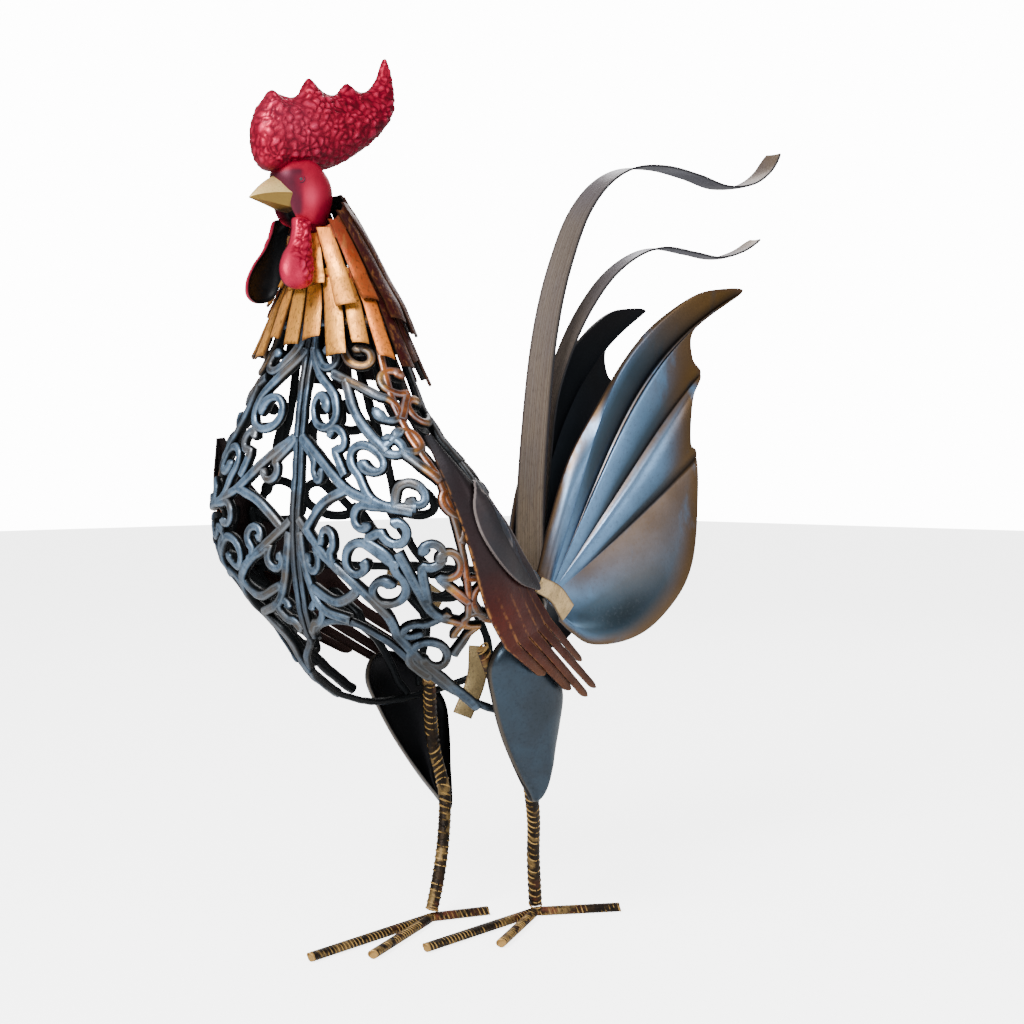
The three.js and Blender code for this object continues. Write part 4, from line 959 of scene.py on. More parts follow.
def make_comb(settings):
    shapes = Shapes()
    side = lambda sign: lambda f: sign * (0.6 + COMB_HALF * float(dome(f)))
    low, high, least = COMB_THIN
    share = lambda z: 1 - (1 - least) * np.clip((z - low) / (high - low), 0, 1)
    place = lambda p: np.stack([p[:, 0] * share(p[:, 2]) + 0.25 * np.sign(p[:, 0]), p[:, 1], p[:, 2]], 1)
    pressed(shapes, COMB, COMB_SPINE, side(1), side(-1), place, 280, 26)
    obj = shapes.build("comb_piece")
    mesh = even_mesh(obj, 0.8)
    held = {}

    def height(points, normals):
        grains = pebbles(points, settings.pebble)
        low = fade(452, 459, points[:, 2])
        front = (0.5 + 0.5 * fade(-203, -188, points[:, 1])) * (0.3 + 0.7 * fade(2.0, 5.0, abs(points[:, 0])))
        held["relief"] = 0.25 + (grains - 0.25) * low
        return settings.pebble_rise * (grains - 0.7) * low * front

    relief(mesh, height)
    # Darker towards the comb's base, where it sits on the head.
    soot = 0.75 * (1 - fade(450, 456, from_frame(mesh)[:, 2]))
    x, y, z = from_frame(mesh).T
    lower = np.interp(y, (-176, -151, -130, -110, -103.8, -101.3), (455, 457, 468, 485, 495, 505))
    # Painted shade: darker along the comb's lower edge, more towards the back.
    set_value(mesh, "dusk", (1 - fade(0, 24, z - lower)) * fade(-195, -165, y))
    # Painted highlight: a pink pool of light on the front of the comb, halfway up.
    set_value(mesh, "glow", np.exp(-np.hypot((y + 184) / 17, (z - 482) / 15) ** 2))
    set_value(mesh, "relief", held["relief"])
    set_value(mesh, "soot", soot)
    return finish(obj, comb_finish(), ["comb"])


def eye_parts(shapes, side):
    """A low ball with a rim round it, turned out of the head."""
    out = Vector((side * 0.86, -0.48, 0.16)).normalized()
    up = Vector((0, 0, 1))
    along = out.cross(up).normalized()
    up = along.cross(out)
    centre = Vector((side * EYE[0], EYE[1], EYE[2]))
    turn = np.linspace(0, TAU, 28, endpoint=False)
    spot = lambda r, h: [centre + (along * math.cos(a) + up * math.sin(a)) * r + out * h for a in turn]
    ball = [spot(2.0 * math.cos(t), -0.6 + 1.5 * math.sin(t)) for t in np.linspace(-0.6, 1.5, 12)]
    level = np.linspace(0, 1, 12)[:, None] * np.ones(28)
    # Painted reflection: the outward cap of each eye ball is a lighter grey glint on the dark eye.
    shapes.tube(ball, soot=1 - 0.75 * (level > 0.72), pupil=(level > 0.72) * 1.0)
    ring = [spot(2.3 + 0.45 * math.cos(t), 0.1 + 0.45 * math.sin(t)) for t in np.linspace(0, TAU, 11)[:-1]]
    points = np.array(ring + ring[:1])
    rows, count = points.shape[:2]
    faces = [[(r % 10) * count + i, (r % 10) * count + (i + 1) % count,
              ((r + 1) % 10) * count + (i + 1) % count,
              ((r + 1) % 10) * count + i] for r in range(10) for i in range(count)]
    shapes.add(points[:10], faces, soot=0.9, pupil=0.0)


def make_head(settings):
    shapes = Shapes()
    rows = smooth(HEAD, 70)
    turn = np.linspace(0, TAU, 96, endpoint=False)
    rings = whole_point(rows, turn[None, :], rows[:, :1])
    x, y, z = rings.reshape(-1, 3).T
    throat = (1 - fade(5.5, 8.0, abs(x))) * (1 - fade(432, 437, z)) * fade(421, 424,
            z) * (1 - fade(-178, -170, y))
    rings[..., 1] += (8.5 * throat).reshape(rings.shape[:2])
    flat = rings.reshape(-1, 3)
    near = np.stack([abs(x), flat[:, 1], z], 1)
    root = 0.8 * (1 - fade(0.4, 3.8, beyond_beak(near))) * (1 - throat)
    socket = 0.6 * near_spot(near, np.array(EYE), 3.8)
    # Painted shade under the chin: the lowest part of the head is darkened.
    below = 0.8 * (1 - fade(417, 423, z))
    lip = np.exp(-((abs(x) - 8.6) / 0.8) ** 2) * (1 - fade(432, 436, z)) * (y < -172)
    # Painted highlight: a pink pool of light on each cheek and a pink line along the lower front edge of the
    # head.
    cheek = 0.9 * near_spot(near, np.array([14.5, -173, 438]), 6.5) + 0.7 * lip
    shapes.tube(rings, soot=np.maximum.reduce([root, throat, socket, below]).reshape(rings.shape[:2]),
                cheek=np.clip(cheek, 0, 1).reshape(rings.shape[:2]), pupil=0.0,
                inner=throat.reshape(rings.shape[:2]))
    for side in (1, -1):
        eye_parts(shapes, side)
    obj = shapes.build("head_piece")
    relief(obj.data, lambda p, n: np.array([0.35 * noise.noise(Vector(q * 0.11)) for q in p]))
    return finish(obj, head_finish(), ["head"], 60)


def beak_levels(t):
    """Half width, ridge, mouth and keel of the beak at the fraction t from its root."""
    half = BEAK_HALF * (1 - t) ** 0.9 + 0.35
    ridge = BEAK_TIP[1] + (BEAK_ROOT[1] - BEAK_TIP[1]) * (1 - t * t)
    mouth = BEAK_TIP[1] - 0.3 + 3.6 * (1 - t ** 3)
    return half, ridge, mouth, BEAK_TIP[1] - 0.9 - 6 * (1 - t)


def beyond_beak(points):
    """How far points of the face lie outside the beak's section at their own depth."""
    t = np.clip((points[:, 1] - BEAK_ROOT[0]) / (BEAK_TIP[0] - BEAK_ROOT[0]), 0, 1)
    half, ridge, mouth, keel = beak_levels(t)
    behind = np.maximum(0, points[:, 1] - BEAK_ROOT[0])
    above, below = points[:, 2] - ridge, keel - points[:, 2]
    return np.hypot(np.maximum.reduce([above, below, points[:, 0] - half, 0 * half]), behind)


def make_beak(settings):
    rings, lower, soot = [], [], []
    for t in np.linspace(0, 1, 34):
        half, ridge, mouth, keel = beak_levels(t)
        upper, under = mouth + 0.62 * (ridge - mouth), keel + 0.2 * (mouth - keel)
        lip = 0.25 * (1 - t)
        side = [(0.31 * half, (ridge + upper) / 2 + 0.3 * (1 - t), 0), (0.62 * half, upper, 0),
                (0.83 * half, (upper + mouth) / 2, 0), (half, mouth + lip, 0),
                (half - 0.5 * (1 - t), mouth, 0.6),
                (half, mouth - lip, 1), (0.88 * half, (mouth + under) / 2, 1), (0.74 * half, under, 1),
                (0.36 * half, (under + keel) / 2, 1)]
        ring = [(0, ridge, 0), *side, (0, keel, 1), *[(-x, z, low) for x, z, low in side[::-1]]]
        x, z, low = np.array(ring).T
        y = BEAK_ROOT[0] + (BEAK_TIP[0] - BEAK_ROOT[0]) * t
        rings.append(np.stack([x, np.full(len(x), y), z], 1))
        lower.append(low)
        # Darker at the beak's root, where it meets the face.
        soot.append(0.85 * (1 - fade(0.2, 0.36, t + 0.02 * abs(x))))
    shapes = Shapes()
    shapes.tube(rings, lower=np.array(lower), soot=np.array(soot))
    obj = shapes.build("beak_piece")
    return finish(obj, beak_finish(), ["beak"], 24)


def make_wattle(side, name, settings, stretch):
    def place(p):
        down = WATTLE_TOP - p[:, 2]
        return np.stack([side * (p[:, 0] + WATTLE_OUT + down * WATTLE_LEAN), p[:, 1],
                         WATTLE_TOP - down * stretch], 1)

    shapes = Shapes()
    inner = lambda f: WATTLE_BULGE * float(dome(f))
    pressed(shapes, WATTLE, WATTLE_SPINE, lambda f: PRESSED + inner(f), inner, place, 200, 26)
    obj = shapes.build(name + "_piece")
    mesh = obj.data
    held = {}

    def height(points, normals):
        outside = 1 - get_value(mesh, "inner")
        grains = pebbles(points, settings.pebble * 1.05)
        bumpy = fade(-191, -184, points[:, 1] + 0.35 * (points[:, 2] - 400))
        low = outside * bumpy * fade(0.02, 0.2, get_value(mesh, "inward"))
        held["relief"] = 0.72 + (0.15 + 0.85 * grains - 0.72) * low
        return settings.pebble_rise * (grains - 0.7) * low

    relief(mesh, height)
    set_value(mesh, "relief", held["relief"])
    return finish(obj, comb_finish("wattle_red"), [name])


# THE COLLARS
def make_collar(name, top, rise, band, front, back, count, hug, grow, settings):
    shapes = Shapes()
    rows, columns = 26, 9
    v = np.linspace(-1, 1, columns)
    for k in range(count):
        behind = (1 - math.cos(k * TAU / count)) / 2
        tip = front + (back - front) * behind + 5 * math.sin(k * 2.4)
        edge = top + rise * behind
        heights = [edge, edge - band, (edge - band + tip) / 2, tip]
        lifts = [hug + (grow - hug) * a + b * (0.7 + (k % 3) * 0.8)
                 for a, b in ((0, 0), (0.4, 0), (1, 0.4), (1, 1))]
        s = np.linspace(0, 3, rows)
        z = np.interp(s, range(4), heights)[:, None] + np.zeros(columns)
        z -= fade(2.4, 3, s)[:, None] * (1.3 * math.sin(k * 5.1) * v + 0.5 * v ** 2)
        narrow = np.interp(s, range(4), [0.46, 0.46, 0.42, 0.37])[:,
                None] * (1 - 0.06 * fade(2.9, 3, s)[:, None])
        lift = np.interp(s, range(4), lifts)[:, None] + 0.7 * (1 - v ** 2) * fade(0.6, 1.6, s)[:, None]
        lift = lift + 0.5 * math.sin(k * 3.7) * v * fade(1, 3, s)[:, None]
        turn = (k + v * narrow) * TAU / count
        outer, inner = neck_point(turn, z, lift + SHEET), neck_point(turn, z, lift)
        side = math.sin(k * TAU / count)
        warmth = 0.95 * fade(0.13, 0.54, behind + 0.05 * math.sin(k * 4.3)) + 0.07 * math.sin(k * 7.7)
        rim = np.maximum(fade(0.9, 1.0, abs(v))[None, :] * np.ones((rows, 1)),
                         fade(2.93, 3, s)[:, None] * np.ones(columns))
        # Painted shade: on the left side the upper part of each strip, under the row above, is pushed towards
        # the darker, redder end of the collar colours.
        shade = warmth + 0.12 * fade(2.2, 0.8, s)[:, None] * (side > 0) + np.zeros(columns)
        shapes.sheet(outer, inner, warmth=np.clip(shade, 0, 1), rim=rim * 0.7)
    ring = np.linspace(0, TAU, 120, endpoint=False)
    behind = (1 - np.cos(ring)) / 2
    edge = top + rise * behind
    z = np.stack([edge - 0.4, edge - band + 1])
    lift = np.array([[hug - 0.6], [hug + (grow - hug) * 0.4 - 0.6]]) + np.zeros(120)
    shapes.sheet(neck_point(ring[None, :] + 0 * z, z, lift + SHEET),
                 neck_point(ring[None, :] + 0 * z, z, lift),
                 closed=True, warmth=0.5 + 0.4 * behind[None, :] + 0 * z, rim=0.3)
    obj = shapes.build(name + "_piece", 0)
    relief(obj.data, lambda p, n: np.array([0.12 * noise.noise(Vector(q * [0.5, 0.5, 0.12])) for q in p]))
    return finish(obj, hackle_finish(), [name], 35)


# THE WINGS
WING_FRONT = [(94, -161, 303), (107, -154, 270), (110, -143, 240), (105, -126, 208), (98, -104, 184)]
WING_BACK = [(92, -157, 304), (100, -139, 284), (100, -112, 258), (91, -86, 231), (85, -54, 198)]
WING_TIPS = [(88, -62, 165), (81, -32, 153), (76, -12, 147), (73, -1, 151), (76, -17, 169)]
WING_OUT, WING_BULGE = 1.2, 9
COVERT = [(-139, 279), (-145, 268), (-142, 254), (-133, 241), (-118, 229), (-99, 220.5), (-81, 217),
          (-69, 215.5), (-76, 226), (-93, 242), (-111, 258), (-127, 272)]
COVERT_SPINE = [(-134, 268), (-124, 249), (-105, 234), (-83, 221)]
COVERT_LINE = [(-138, 274), (-126, 268), (-115, 258), (-111, 249), (-114, 243), (-119, 246)]


def wing_grid(rows, columns):
    front, back = smooth(WING_FRONT, rows), smooth(WING_BACK, rows)
    t = np.asarray(columns)[None, :, None]
    grid = front[:, None, :] * (1 - t) + back[:, None, :] * t
    arch = np.minimum(1, 0.12 + 0.75 * np.arange(rows + 1) / rows)[:, None]
    grid[..., 0] += WING_OUT + WING_BULGE * np.sin(math.pi * t[..., 0]) * np.sin(math.pi * arch)
    return grid


def make_wing(side, name, settings):
    shapes = Shapes()
    feathers, across, rows = len(WING_TIPS), 11, 44
    v = np.linspace(-1, 1, across)
    t = np.concatenate([(f + 0.5 + v * 0.46) / feathers for f in range(feathers)])
    grid = wing_grid(rows, t)
    wall = np.array([SHEET, 0, 0])
    down = 0.6 * (np.arange(rows + 1) / rows)[:, None] + 0 * t[None, :]
    rim = np.maximum(1 - fade(0.0, 0.035, t), fade(0.985, 1.0, t))[None, :] * fade(0.0, 0.3, down)
    crease = fade(0.40, 0.6, down) * np.concatenate([fade(0.88, 1.0, abs(v))] * feathers)[None, :] * 0.6
    shape = lambda points: points * [side, 1, 1]
    shapes.sheet(shape(grid), shape(grid - wall), down=down, rim=np.maximum(rim, crease))
    s = np.linspace(0, 1, 30)
    for f, tip in enumerate(WING_TIPS):
        left, right = grid[-1, f * across], grid[-1, (f + 1) * across - 1]
        middle = (left + right) / 2 + (np.array(tip) - (left + right) / 2) * s[:, None]
        half = np.where(s < 0.95, 0.5 - 0.14 * s, 0.367 - 0.21 * fade(0.95, 1, s))
        patch = middle[:, None, :] + (right - left) * (half[:, None] * v)[..., None]
        patch[0] = grid[-1, f * across:(f + 1) * across]
        patch[..., 0] += 0.9 * (1 - v ** 2)[None, :] * fade(0, 0.3, s)[:, None]
        edge = np.maximum(fade(0.86, 1.0, abs(v))[None, :] + 0 * s[:, None],
                          fade(0.975, 1, s)[:, None] + 0 * v)
        shapes.sheet(shape(patch), shape(patch - wall), down=(0.6 + 0.4 * s)[:, None] + 0 * v, rim=edge)
    obj = shapes.build(name + "_piece", 0)
    relief(obj.data, lambda p, n: np.array([0.25 * noise.noise(Vector(q * 0.07)) for q in p]))
    return finish(obj, wing_finish(), [name], 45)


def make_covert(side, name, settings):
    grid = wing_grid(60, np.linspace(0, 1, 61)).reshape(-1, 3)

    def place(p):
        out = p.copy()
        for i, (lift, y, z) in enumerate(p):
            d = np.hypot(grid[:, 1] - y, grid[:, 2] - z)
            near = np.argpartition(d, 5)[:5]
            weight = 1 / (d[near] + 0.05) ** 2
            out[i] = (side * ((grid[near, 0] * weight).sum() / weight.sum() + lift), y, z)
        return out

    shapes = Shapes()
    pressed(shapes, COVERT, COVERT_SPINE, lambda f: 2 + SHEET + 1.4 * f, lambda f: 2 + 1.4 * f, place, 150,
            14)
    obj = shapes.build(name + "_piece")
    mesh = obj.data
    points = from_frame(mesh)
    line = smooth(COVERT_LINE, 60)
    gap = np.linalg.norm(nearest_on(line, points[:, 1:]) - points[:, 1:], axis=1)
    set_value(mesh, "line", (1 - fade(0.35, 0.9, gap)) * (1 - get_value(mesh, "inner")))
    set_value(mesh, "rim", 1 - fade(0.0, 0.05, get_value(mesh, "inward")))
    return finish(obj, covert_finish(), [name], 50)


# THE TAIL
LEAF_ROOT = (2, 200)
LEAF_EDGE = [(11, 186), (18, 179), (31, 171), (51, 171), (72, 177), (94, 193), (111, 216), (118.5, 249),
             (120.5, 292), (113, 301), (112, 318), (115, 333), (123.5, 348), (114.5, 358), (113, 374),
             (128, 387),
             (159, 405), (140, 406), (115, 400), (82, 380), (58, 356), (35, 323), (15, 290), (2, 252),
             (-6, 218)]
LEAF_STOPS, LEAF_SHARES = (0, 8, 12, 16, 24), (1, 0.7, 0.6, 0.8)
LEAF_BULGE, LEAF_HEIGHT, LEAF_SWEEP = 13, 205, 66
LEAVES = {"tail_leaf_left": (1, 0.24, 0), "tail_leaf_right": (-1, 0.15, 8)}


def leaf_edge(position):
    """A place of the leaf's outline, rounded between its points."""
    p = np.array([LEAF_EDGE[0], *LEAF_EDGE, LEAF_EDGE[-1]], float)
    k = np.minimum(position.astype(int), len(LEAF_EDGE) - 2)
    t = (position - k)[:, None]
    a, b, c, d = p[k], p[k + 1], p[k + 2], p[k + 3]
    return 0.5 * (2 * b + (c - a) * t + (2 * a - 5 * b + 4 * c - d) * t ** 2 + (3 * b - a - 3 * c + d)
                  * t ** 3)


def make_leaf(name):
    side, outward, drop = LEAVES[name]
    last = LEAF_STOPS[-1]
    position = np.linspace(0, last, 10 * last + 1)
    s, z = leaf_edge(position).T
    r = np.linspace(0.04, 1, 56)[:, None]
    panel = np.clip(np.searchsorted(LEAF_STOPS, position, side="right") - 1, 0, 3)
    stops = np.array(LEAF_STOPS, float)
    t = (position - stops[panel]) / (stops[panel + 1] - stops[panel])
    sweep = lambda high: LEAF_SWEEP * ((high - LEAF_ROOT[1]) / LEAF_HEIGHT) ** 5
    high = LEAF_ROOT[1] + (z - LEAF_ROOT[1]) * r
    back = LEAF_ROOT[0] + (s - sweep(z) - LEAF_ROOT[0]) * r + sweep(high)
    flute = np.array(LEAF_SHARES)[panel] * np.sin(math.pi * t) ** 0.8
    out = LEAF_BULGE * flute * r * np.sin(math.pi * 0.85 * r) ** 0.7 + 6 * np.sin(math.pi * r * 0.9)

    def face(inset):
        x = out - inset
        return np.stack([side * (13 + back * math.sin(outward) + x * math.cos(outward)),
                         16 + back * math.cos(outward) - x * math.sin(outward), high - drop], -1)

    inside = (position > 1) & (position < last - 1)
    # Painted shade: a near-black line along each valley between the flutes.
    groove = np.where(inside & (position > LEAF_STOPS[1] - 1), np.exp(-(t / 0.06) ** 2), 0) * fade(0.08,
            0.3, r)
    upper = np.exp(-((1 - t) / 0.2) ** 2) * fade(0.0, 0.25, r)
    rim = fade(0.72, 0.98, r) * 0.95 + 0 * t
    bronze = np.clip(np.maximum(upper * 0.85, rim) + 0.15 * np.exp(-(t / 0.12) ** 2), 0, 1)
    # Painted shade in the lobe of the first panel and, more softly, along the lower parts of the valleys.
    lobe = np.where(panel == 0, np.exp(-((t - 0.55) / 0.3) ** 2), 0.0) * np.exp(-((r - 0.6) / 0.34) ** 2)
    valley = np.where(panel > 0, np.exp(-(t / 0.25) ** 2), 0.0) * fade(0.1, 0.5, r)
    edge = np.maximum(fade(0.985, 1.0, r) + 0 * t,
                      0.6 * (np.minimum(position, last - position) < 0.15) + 0 * r)
    shapes = Shapes()
    shapes.sheet(face(0), face(PRESSED), bronze=bronze, groove=0.85 * groove,
                 dusk=np.clip(lobe + 0.8 * valley, 0, 1),
                 rim=edge)
    obj = shapes.build(name + "_piece", 0)
    relief(obj.data, lambda p, n: np.array([0.3 * noise.noise(Vector(q * 0.05)) for q in p]))
    return finish(obj, leaf_finish(), [name], 60)


SICKLE_LONG = [(17, 204), (16.6, 222), (17, 264), (21, 310), (28, 361), (36, 394), (46, 421), (62, 452),
               (83, 474),
               (108, 487), (142, 492), (178, 490), (211, 486), (241, 491), (261, 502), (275, 517)]
SICKLE_SHORT = [(20.5, 204), (22, 225), (27, 277), (35, 329), (50, 363), (69, 391), (93, 415), (121, 431),
                (145, 437), (178, 436), (206, 435), (233, 442), (253, 452)]


def ribbon(name, run, side, half, material, slot, nodes, spread=0.0):
    """A long strip along a path; side gives the direction of its width and half its half width by point."""
    along = np.gradient(run, axis=0)
    along /= np.linalg.norm(along, axis=1, keepdims=True)
    across = side - (side * along).sum(1, keepdims=True) * along
    across /= np.linalg.norm(across, axis=1, keepdims=True)
    out = np.cross(along, across)
    v = np.linspace(-1, 1, 11)
    t = np.linspace(0, 1, len(run))[:, None]
    grid = run[:, None, :] + across[:, None, :] * (half[:, None] * v)[..., None]
    grid = grid + out[:, None, :] * (0.9 * (1 - v ** 2))[None, :, None] * 0.6
    wall = -out[:, None, :] * SHEET / 2
    shapes = Shapes()
    shapes.sheet(grid + wall, grid - wall, along=t + 0 * v, across=v[None, :] * 0.5 + 0.9 + spread + 0.02 * t,
                 rim=fade(0.93, 1.0, abs(v))[None, :] + 0 * t)
    obj = shapes.build(name + "_piece", 0)
    return finish(obj, material, nodes, 45)


def make_sickle(places, wide, narrow, name, spread):
    run = smooth([(0, y, z) for y, z in places], 150)
    half = np.linspace(wide, narrow, len(run)) / 2
    half[-3:] *= [0.96, 0.9, 0.8]
    side = np.broadcast_to(np.array([1.0, 0, 0]), run.shape)
    return ribbon(name, run, side, half, ribbon_finish(), "ribbon_bronze", [name], spread)


def make_saddle(side, name):
    run = smooth([(69, -46, 216), (63, -26, 209), (57, -9, 196.5)], 24) * [side, 1, 1]
    across = np.broadcast_to(np.array([side * 0.2, 0.5, 0.8]), run.shape)
    half = np.linspace(5, 6.5, len(run))
    return ribbon(name, run, across, half, strap_finish("saddle_gold", (0.72, 0.50, 0.24, 1)),
                  "hackle_gold", [name])


# THE LEGS
THIGH = [(-84, 176), (-77, 190), (-62, 193), (-48, 186), (-30, 170), (-21, 156), (-21, 138), (-24, 116),
         (-29, 88),
         (-38, 97), (-50, 112), (-64, 132), (-76, 154)]
THIGH_SPINE = [(-58, 172), (-45, 148), (-33, 112)]
THIGHS = {"thigh_left": (1, 5.5, -6, 52.5), "thigh_right": (-1, 27, 20, 48)}
LEGS = {"leg_left": [(33, -58, 176), (35, -46, 148), (43, -32, 108), (40, -24, 88), (33, -14, 66),
                     (25, -6, 40),
                     (20, 1, 8.4)],
        "leg_right": [(-33, -42, 152), (-41, -31, 108), (-37, -25, 76), (-29, -33, 50), (-22, -44, 26),
                      (-16, -55, 8.4)]}
FEET = {"left": ((20, 1), (14, -106), (38, -68), (30, 46)),
        "right": ((-16, -55), (18, -111), (39, -82), (13, 36))}


def make_thigh(name):
    side, drop, back, out = THIGHS[name]
    place = lambda p: np.stack([side * (p[:, 0] + out + (p[:, 2] - 90) * 0.2), p[:, 1] + back,
                                p[:, 2] - drop], 1)
    shapes = Shapes()
    pressed(shapes, THIGH, THIGH_SPINE, lambda f: PRESSED + 13 * float(dome(f)),
            lambda f: 13 * float(dome(f)),
            place, 200, 26)
    obj = shapes.build(name + "_piece")
    relief(obj.data, lambda p, n: np.array([0.3 * noise.noise(Vector(q * 0.05)) for q in p]))
    set_value(obj.data, "rim", 1 - fade(0.0, 0.02, get_value(obj.data, "inward")))
    return finish(obj, thigh_finish(), [name])


def ribbed_bar(name, path, radius, welds, settings, tree):
    """A length of ribbed bar; its ends are bright cuts, and it is reddened near the welds."""
    run = np.asarray(path, float)
    ends = np.zeros(len(run))
    ends[[0, -1]] = 1
    rib = settings.rib_height * radius / 4.6
    obj = paths_object(name + "_piece", [run], [{"cut": ends}])
    mesh = run_tree(obj, tree, core_radius=(radius - rib) * 0.001, rib_height=rib * 0.001,
                    rib_pitch=settings.rib_pitch * radius / 4.6 * 0.001, rib_tilt=settings.rib_tilt,
                    material=bar_finish())
    points = from_frame(mesh)
    weld = np.max([near_spot(points, np.array(w), 13) for w in welds], axis=0)
    set_value(mesh, "weld", weld)
    return finish(obj, bpy.data.materials["bar_dark"], [name], 35)


def with_ends(points):
    """Adds a place just inside each end, so that a value set on an end stays on the cut."""
    p = [np.asarray(q, float) for q in points]
    near = lambda a, b: a + (b - a) / np.linalg.norm(b - a) * 0.5
    return np.array([p[0], near(p[0], p[1]), *p[1:-1], near(p[-1], p[-2]), p[-1]])


def make_legs(settings, tree):
    toe = 3.3
    for foot, (centre, front, side, back) in FEET.items():
        at = lambda q: np.array([centre[0] + q[0], centre[1] + q[1], toe])
        middle = at((0, 0))
        name = "leg_" + foot
        run = smooth(LEGS[name], 70)
        ribbed_bar(name, with_ends(run), 4.6, [run[-1], run[0]], settings, tree)
        corner = smooth([middle + (at(side) - middle) * 0.08, middle + [0, 0, 0],
                         middle + (at(back) - middle) * 0.1], 8)
        ribbed_bar("toe_bent_" + foot, with_ends([at(side), *corner, at(back)]), toe, [middle], settings,
                   tree)
        start = middle + (at(front) - middle) * 0.012
        ribbed_bar("toe_front_" + foot, with_ends([start, (start + at(front)) / 2, at(front)]), toe, [middle],
                   settings, tree)


def make_strap():
    run = smooth([(19, -48, 176), (19, -50, 156), (17, -60, 134)], 30)
    across = np.broadcast_to(np.array([0.7, 0.7, 0.0]), run.shape)
    return ribbon("belly_strap", run, across, np.full(len(run), 6.0), strap_finish(), "strap_brass",
                  ["belly_strap"])


# THE STAGE
def make_stage(settings):
    """Camera at the photograph's angle, soft studio light and a plain pale floor."""
    scene = bpy.context.scene
    data = bpy.data.cameras.new("camera")
    data.lens, data.sensor_width = 63.28, 36.0
    camera = bpy.data.objects.new("camera", data)
    camera.location = (0.8132, -0.8132 - FRAME_SHIFT * 0.001, 0.289)
    aim = Vector((-math.cos(settings.pitch) * math.sqrt(0.5), math.cos(settings.pitch) * math.sqrt(0.5),
                  -math.sin(settings.pitch)))
    camera.rotation_euler = aim.to_track_quat("-Z", "Y").to_euler()
    scene.collection.objects.link(camera)
    scene.camera = camera
    lights = (("key", (0.55, -1.7, 1.5), 0.8, settings.key_power),
              ("side", (1.9, 0.3, 0.9), 1.0, settings.key_power * 0.16),
              ("back", (-0.9, 1.3, 1.4), 1.0, settings.key_power * 0.15))
    for name, place, size, power in lights:
        lamp = bpy.data.lights.new(name, "AREA")
        lamp.energy, lamp.size = power, size
        obj = bpy.data.objects.new(name, lamp)
        obj.location = place
        obj.rotation_euler = (Vector((0, 0, 0.28)) - Vector(place)).to_track_quat("-Z", "Y").to_euler()
        scene.collection.objects.link(obj)
    world = bpy.data.worlds.new("studio")
    world.use_nodes = True
    nodes, links = world.node_tree.nodes, world.node_tree.links
    seen = nodes.new("ShaderNodeLightPath")
    strength = nodes.new("ShaderNodeMapRange")
    strength.inputs["To Min"].default_value = settings.sky
    strength.inputs["To Max"].default_value = settings.backdrop
    links.new(seen.outputs["Is Camera Ray"], strength.inputs["Value"])
    links.new(strength.outputs["Result"], nodes["Background"].inputs["Strength"])
    nodes["Background"].inputs["Color"].default_value = (1, 1, 1, 1)
    scene.world = world
    mesh = bpy.data.meshes.new("floor")
    mesh.from_pydata([(x, y, 0) for x, y in ((-6, -6), (6, -6), (6, 6), (-6, 6))], [], [(0, 1, 2, 3)])
    floor = bpy.data.objects.new("floor", mesh)
    scene.collection.objects.link(floor)
    pale = Finish("floor_pale", 0.6, 0.0, bump=0.02, base=(0.93, 0.93, 0.93, 1), second=(0.91, 0.91, 0.91, 1),
                  dark=(0.9, 0.9, 0.9, 1), blotch_scale=1.0, speck_amount=0.1)
    bright = pale.t.node("ShaderNodeMath", {0: pale.t.node("ShaderNodeLightPath").outputs["Is Camera Ray"],
                                            1: settings.floor_glow}, operation="MULTIPLY")
    pale.shader.inputs["Emission Color"].default_value = (1, 1, 1, 1)
    pale.link(bright.outputs[0], pale.shader.inputs["Emission Strength"])
    mesh.materials.append(pale.done())


# SETTINGS, OPERATORS AND PANEL
def tint(name, about, value):
    return bpy.props.FloatVectorProperty(name=name, description=about, default=value, subtype="COLOR", size=3,
                                         min=0.0, max=1.0)


def size(name, about, value):
    return bpy.props.FloatProperty(name=name, description=about + ", in millimetres", default=value, min=0.0)


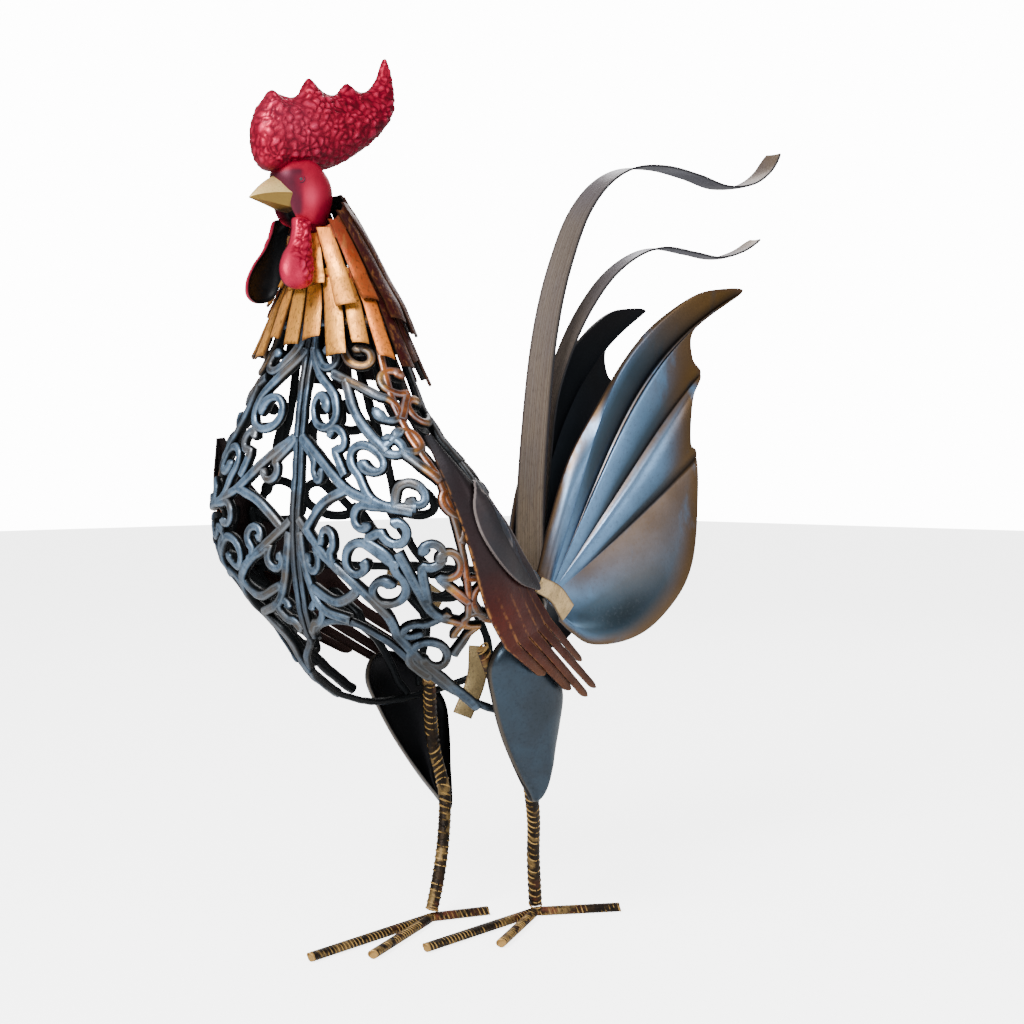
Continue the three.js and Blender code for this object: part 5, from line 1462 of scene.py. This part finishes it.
class RoosterSettings(bpy.types.PropertyGroup):
    """Sizes and colours of the rooster."""
    comb: tint("Comb", "Colour of the comb and wattles", (0.50, 0.012, 0.055))
    beak: tint("Beak", "Colour of the upper beak", (0.95, 0.68, 0.27))
    hackle: tint("Collars", "Colour of the collar feathers in front", (0.86, 0.39, 0.07))
    scrolls: tint("Scrolls", "Colour of the tops of the scrolls", (0.18, 0.29, 0.44))
    wing: tint("Wings", "Colour of the middle of the wings", (0.078, 0.011, 0.006))
    tail: tint("Tail", "Colour of the tail leaves", (0.155, 0.28, 0.46))
    ribbon: tint("Ribbons", "Colour of the two long ribbons", (0.33, 0.25, 0.17))
    thigh: tint("Thighs", "Colour of the thighs", (0.042, 0.062, 0.085))
    scroll_width: size("Scroll width", "Width of a scroll bar", 6.3)
    scroll_depth: size("Scroll depth", "Depth of a scroll bar", 5.8)
    scroll_edge: size("Scroll edge", "Rounding of a scroll bar's edges", 2.2)
    pebble: size("Pebble", "Size of the grains on the comb", 3.9)
    pebble_rise: size("Pebble rise", "Height of the grains on the comb", 1.3)
    rib_height: size("Rib height", "Height of the ribs of the leg bar", 0.6)
    rib_pitch: size("Rib pitch", "Distance between the ribs of the leg bar", 4.2)
    rib_tilt: bpy.props.FloatProperty(name="Rib tilt", description="Slant of the ribs", default=0.5,
                                      unit="ROTATION")
    pitch: bpy.props.FloatProperty(name="Camera pitch", description="How far the camera looks down",
                                   default=math.radians(1.6), unit="ROTATION")
    key_power: bpy.props.FloatProperty(name="Key light", description="Power of the key light", default=92.0,
                                       unit="POWER")
    floor_glow: bpy.props.FloatProperty(name="Floor",
                                        description="Added brightness of the floor as it is seen",
                                        default=4.2)
    backdrop: bpy.props.FloatProperty(name="Backdrop",
                                      description="Brightness of the white seen behind the bird",
                                      default=14.0)
    sky: bpy.props.FloatProperty(name="Sky", description="Strength of the white surroundings", default=0.34)


class ROOSTER_OT_stage(bpy.types.Operator):
    """Adds the camera, the lights and the floor"""
    bl_idname = "rooster.stage"
    bl_label = "Stage"

    def execute(self, context):
        make_stage(context.scene.rooster)
        return {"FINISHED"}


class ROOSTER_OT_body(bpy.types.Operator):
    """Builds both openwork halves of the body from bars that follow its surface"""
    bl_idname = "rooster.body"
    bl_label = "Body"

    def execute(self, context):
        tree, material = bar_tree(), scroll_finish()
        body_half(1, "body_left", context.scene.rooster, tree, material)
        body_half(-1, "body_right", context.scene.rooster, tree, material)
        return {"FINISHED"}


class ROOSTER_OT_head(bpy.types.Operator):
    """Builds the head with its eyes, the comb, the beak and the wattles"""
    bl_idname = "rooster.head"
    bl_label = "Head"

    def execute(self, context):
        settings = context.scene.rooster
        make_comb(settings)
        make_head(settings)
        make_beak(settings)
        make_wattle(1, "wattle_left", settings, 1.0)
        make_wattle(-1, "wattle_right", settings, 1.15)
        return {"FINISHED"}


class ROOSTER_OT_collars(bpy.types.Operator):
    """Builds the two collars of cut feather strips"""
    bl_idname = "rooster.collars"
    bl_label = "Collars"

    def execute(self, context):
        settings = context.scene.rooster
        make_collar("hackle_upper", 417, 26, 9, 387, 356, 15, 0.4, 4.8, settings)
        make_collar("hackle_lower", 398, 4, 10, 356, 333, 20, 1.2, 1.6, settings)
        return {"FINISHED"}


class ROOSTER_OT_wings(bpy.types.Operator):
    """Builds the wings and the plates over their upper parts"""
    bl_idname = "rooster.wings"
    bl_label = "Wings"

    def execute(self, context):
        for side, name in ((1, "left"), (-1, "right")):
            make_wing(side, "wing_" + name, context.scene.rooster)
            make_covert(side, "wing_covert_" + name, context.scene.rooster)
        return {"FINISHED"}


class ROOSTER_OT_tail(bpy.types.Operator):
    """Builds the tail leaves, the two ribbons and the light feathers beside the rump"""
    bl_idname = "rooster.tail"
    bl_label = "Tail"

    def execute(self, context):
        for side, name in ((1, "left"), (-1, "right")):
            make_leaf("tail_leaf_" + name)
            make_saddle(side, "saddle_feather_" + name)
        make_sickle(SICKLE_LONG, 26, 16, "sickle_long", 0.0)
        make_sickle(SICKLE_SHORT, 15, 12, "sickle_short", 3.0)
        return {"FINISHED"}


class ROOSTER_OT_legs(bpy.types.Operator):
    """Builds the thighs, the ribbed legs and toes, and the strap beside the left leg"""
    bl_idname = "rooster.legs"
    bl_label = "Legs"

    def execute(self, context):
        make_thigh("thigh_left")
        make_thigh("thigh_right")
        make_legs(context.scene.rooster, ribbed_tree())
        make_strap()
        return {"FINISHED"}


class ROOSTER_PT_panel(bpy.types.Panel):
    """Lists the settings and the pieces"""
    bl_idname = "ROOSTER_PT_panel"
    bl_label = "Rooster"
    bl_space_type = "VIEW_3D"
    bl_region_type = "UI"
    bl_category = "Rooster"

    def draw(self, context):
        for key in RoosterSettings.__annotations__:
            self.layout.prop(context.scene.rooster, key)
        for operator in OPERATORS:
            self.layout.operator(operator.bl_idname)


OPERATORS = (ROOSTER_OT_stage, ROOSTER_OT_head, ROOSTER_OT_collars, ROOSTER_OT_body, ROOSTER_OT_wings,
             ROOSTER_OT_tail, ROOSTER_OT_legs)
CLASSES = (RoosterSettings, *OPERATORS, ROOSTER_PT_panel)


def register():
    for one in CLASSES:
        bpy.utils.register_class(one)
    bpy.types.Scene.rooster = bpy.props.PointerProperty(type=RoosterSettings)


def unregister():
    del bpy.types.Scene.rooster
    for one in reversed(CLASSES):
        bpy.utils.unregister_class(one)


def main():
    register()
    bpy.ops.rooster.stage()
    bpy.ops.rooster.head()
    bpy.ops.rooster.collars()
    bpy.ops.rooster.body()
    bpy.ops.rooster.wings()
    bpy.ops.rooster.tail()
    bpy.ops.rooster.legs()


if __name__ == "__main__":
    main()
